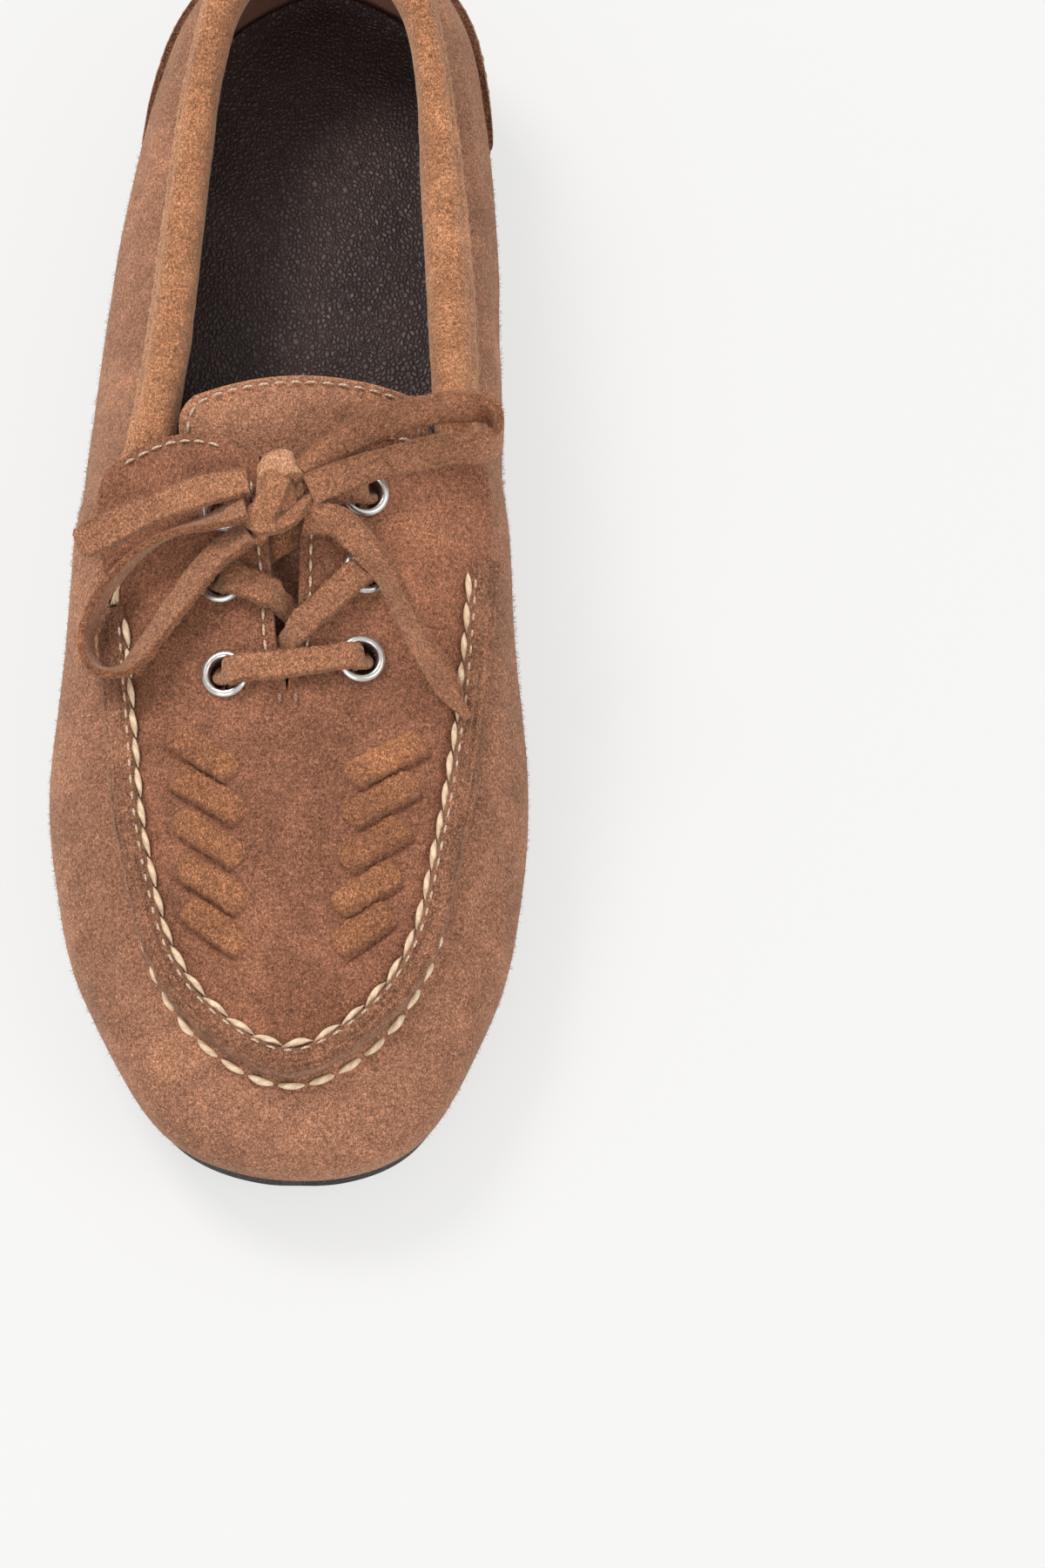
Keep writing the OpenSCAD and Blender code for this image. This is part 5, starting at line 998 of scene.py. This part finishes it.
def knot():
    V, F, UV = [], [], []; base = 0
    def add(R, uv):
        nonlocal base
        V.append(R.reshape(-1, 3)); F.extend(tube_parts(R, base)); UV.append(uv.reshape(-1, 2)); base += R.shape[0]*R.shape[1]
    # lumpy core
    a = np.radians(np.linspace(-88, 88, 40)); g = 2*np.pi*np.arange(40)/40
    cx, cy = -1.4, -13.0
    r = np.cos(a)[:, None]
    y = cy - 6.3*np.sin(a)[:, None] + 0*g
    x = cx + 3.7*r*np.cos(g) + 0.5*np.sin(a)[:, None]
    z = H(cx, y) + 4.7 + 2.6*r*np.sin(g)
    R = np.stack([x, y, z], -1); R += (0.35*fbm(R, 3.4, 111))[..., None]*unit(R - R.mean(1, keepdims=True))
    add(R, np.stack(np.broadcast_arrays(np.degrees(a)[:, None]*0.02, 0.5 + 0*g), -1))
    def wrap(P, w, t, seed, n=90):
        C, Sd, Up = ribbon_frames(P, n); R, uv = band(C, Sd, Up, w, t, 22, 0.16, 0.12, seed, curl=-0.10)
        add(R, uv)
    # the crossing band that holds the bow, pulled tight: up over the front, narrowing, and down behind
    wrap([[-5.2, -19.6, 58.6, 8], [-5.0, -19.4, 61.0, 6], [-3.9, -17.6, 63.2, 2], [-2.2, -14.6, 64.5, -2], [-1.2, -11.8, 64.9, -4], [-0.8, -9.6, 64.2, -2], [-0.6, -8.2, 62.6, 0], [-0.4, -7.6, 60.6, 0]], 5.0, 1.6, 121)
    # knob: the turn of the band at the top, in a lighter copy of the lace suede as a painted highlight
    C, Sd, Up = ribbon_frames([[2.0, -9.6, 61.2, 84], [2.2, -8.9, 63.6, 64], [1.1, -8.5, 65.5, 18], [-0.6, -8.5, 65.6, -14], [-2.2, -8.9, 64.0, -58], [-2.4, -9.6, 61.4, -84]], 90)
    R, uv = band(C, Sd, Up, 5.6, 1.9, 22, 0.16, 0.14, 131, curl=-0.16)
    make("lace_knot_knob", R.reshape(-1, 3), tube_parts(R), [M_knob_painted_highlight], uv=uv.reshape(-1, 2), slot="lace", sharp=0)
    # lower wrap, running across under the band
    wrap([[-6.6, -15.4, 60.2, 40], [-6.0, -17.6, 61.6, 32], [-4.0, -19.2, 62.2, 14], [-1.0, -19.0, 62.4, -6], [1.6, -17.4, 62.4, -24], [3.4, -14.8, 61.6, -34], [4.0, -12.8, 60.2, -40]], 4.0, 1.5, 141)
    make("lace_knot_wrapped", np.concatenate(V), F, [M_knot], uv=np.concatenate(UV), slot="lace", replaces=("lace_knot",), sharp=0)
knot()

# ------------------------------------------------------------------ footbed, sock and sole
ends = 0.14
def sole_rows(inset, n, m, ia=0.0, ib=13.0, toe=0.0):
    ua = ia + (ends if ia == 0 else 0); ub = ib - (ends if ib == 13 else 0)
    u = np.linspace(ua, ub, n); s = inset - toe*sstep((u - 10.5)/2)
    a = mxy(u) - outn(u)*s[:, None]; b = mxy(NR - u) - outn(NR - u)*s[:, None]
    t = np.linspace(0, 1, m)
    return a[:, None]*(1 - t)[:, None] + b[:, None]*t[:, None], t
ZB = 1.85 + board_t
def sock():
    G, t = sole_rows(6.2, 260, 90)
    X, Y = G[..., 0], G[..., 1]; Q = np.stack([X, Y, 0*X], -1)
    z = zf(Y) + ZB + foam_t + 0.1 + sock_t
    e = np.minimum(t, 1 - t)[None, :]*np.linalg.norm(G[:, -1] - G[:, 0], axis=1)[:, None]
    cup = 1.6*np.exp(-e/3.0) - 0.5*np.exp(-(((X - 4)/17)**2 + ((Y - 92)/22)**2)) - 0.35*np.exp(-(((X - 2)/24)**2 + ((Y + 48)/26)**2))
    cup += 0.16*fbm(Q, 15, 151) + 0.05*fbm(Q, 5, 152)
    A = np.stack([X, Y, z + cup], -1); B = np.stack([X, Y, z - sock_t + 0*cup], -1)
    shell("sock_lining_leather", A, B, [M_sock, M_board, M_sock], flip=True, slot="sock", replaces=("sock_lining",), sharp=50)
    G, t = sole_rows(6.2, 120, 40); X, Y = G[..., 0], G[..., 1]
    z = zf(Y) + ZB
    A = np.stack([X, Y, z + foam_t - 0.02], -1); B = np.stack([X, Y, z], -1)
    o = shell("footbed_pad", A, B, [M_foam], flip=True, slot="foam", replaces=("footbed_foam",), sharp=50)
sock()

def outsole():
    G, t = sole_rows(3.3, 420, 120, toe=1.0)
    X, Y = G[..., 0], G[..., 1]
    e = np.minimum(t, 1 - t)[None, :]*np.linalg.norm(G[:, -1] - G[:, 0], axis=1)[:, None]
    e = np.minimum(e, np.minimum(Y - Y[-1, 60] , Y[0, 60] - Y) + 0.0)
    e = np.maximum(e, 0)
    top = zf(Y) - 0.1
    # ribbed forepart inside a plain border; the waist stays smooth
    bord = sstep((e - 5.5)/0.8)
    fore = bord*sstep((-24 - Y)/1.0)
    heel = bord*0
    ph = (Y + 0.010*(X - 3)**2)/4.2
    rib_ = sstep((np.abs((ph % 1) - 0.5) - 0.22)/0.10)
    ring = np.exp(-((e - 4.4)/0.45)**2)*sstep((-18 - Y)/6)
    bot = zf(Y) - outsole_t + 0.75*fore*rib_ + 0.55*ring
    round_ = 0.5*(1 - np.clip(e/0.9, 0, 1))**2
    A = np.stack([X, Y, top - 0.0*round_], -1); B = np.stack([X, Y, bot + round_], -1)
    shell("outsole_rubber", A, B, [M_rubber], flip=True, slot="rubber", replaces=("outsole",), sharp=40)
outsole()

# ------------------------------------------------------------------ carried-over CAD nodes: materials only
NODE_MATS = {"heel_lift": (M_stack, "stack"), "heel_top_piece": (M_rubber, "rubber"), "insole_board": (M_board, "board"), "bottom_filler": (M_filler, "board"),
             "heel_counter": (M_stiff, "stiffener"), "toe_puff": (M_stiff, "stiffener"), "facing_stay_lateral": (M_tape, "tape"), "facing_stay_medial": (M_tape, "tape"),
             "apron_lining": (M_lining, "lining")}
for name, (mat, slot_name) in NODE_MATS.items():
    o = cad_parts[name]
    if len(o.data.materials) == 0:
        o.data.materials.append(mat)
    for i in range(len(o.data.materials)):
        o.data.materials[i] = mat

# ------------------------------------------------------------------ floor, world and lights
def floor():
    me = bpy.data.meshes.new("floor"); s = 3.0
    me.from_pydata([(-s, -s, -0.0002), (s, -s, -0.0002), (s, s, -0.0002), (-s, s, -0.0002)], [], [(0, 1, 2, 3)])
    m, nt, b = new_mat("studio_floor"); t = NT(nt)
    g = t.noise(3.0, 2, 0.5)
    t.link(t.ramp(g, [(0.3, (0.190, 0.190, 0.189)), (0.7, (0.195, 0.195, 0.194))]), b.inputs["Base Color"])
    b.inputs["Emission Color"].default_value = (1.0, 1.0, 0.995, 1)
    b.inputs["Emission Strength"].default_value = 0.680
    b.inputs["Roughness"].default_value = 0.85
    b.inputs["Specular IOR Level"].default_value = 0.2
    me.materials.append(m)
    o = bpy.data.objects.new("floor", me); bpy.context.scene.collection.objects.link(o)
floor()

w = bpy.data.worlds.new("studio"); bpy.context.scene.world = w; w.use_nodes = True
bg = w.node_tree.nodes["Background"]; bg.inputs[0].default_value = (0.99, 0.985, 0.97, 1); bg.inputs[1].default_value = 0.62

def light(name, loc, target, size, watts, colour=(1, 1, 1), size_y=None):
    d = bpy.data.lights.new(name, "AREA"); d.energy = watts; d.color = colour; d.size = size
    if size_y: d.shape = "RECTANGLE"; d.size_y = size_y
    o = bpy.data.objects.new(name, d); bpy.context.scene.collection.objects.link(o)
    o.location = loc
    o.rotation_euler = (Vector(target) - Vector(loc)).to_track_quat("-Z", "Y").to_euler()
    return o
light("key", (-0.62, 0.66, 1.30), (0, -0.02, 0.02), 0.55, 14.0, (1.0, 0.975, 0.94))
light("fill", (1.25, -0.55, 1.0), (0, 0, 0.02), 1.1, 7.5, (1.0, 0.985, 0.96))
light("front", (-0.45, -1.25, 0.75), (0, -0.06, 0.02), 0.9, 5.5, (1.0, 0.985, 0.96))

bpy.context.scene.view_settings.view_transform = "Standard"
bpy.context.scene.view_settings.look = "None"
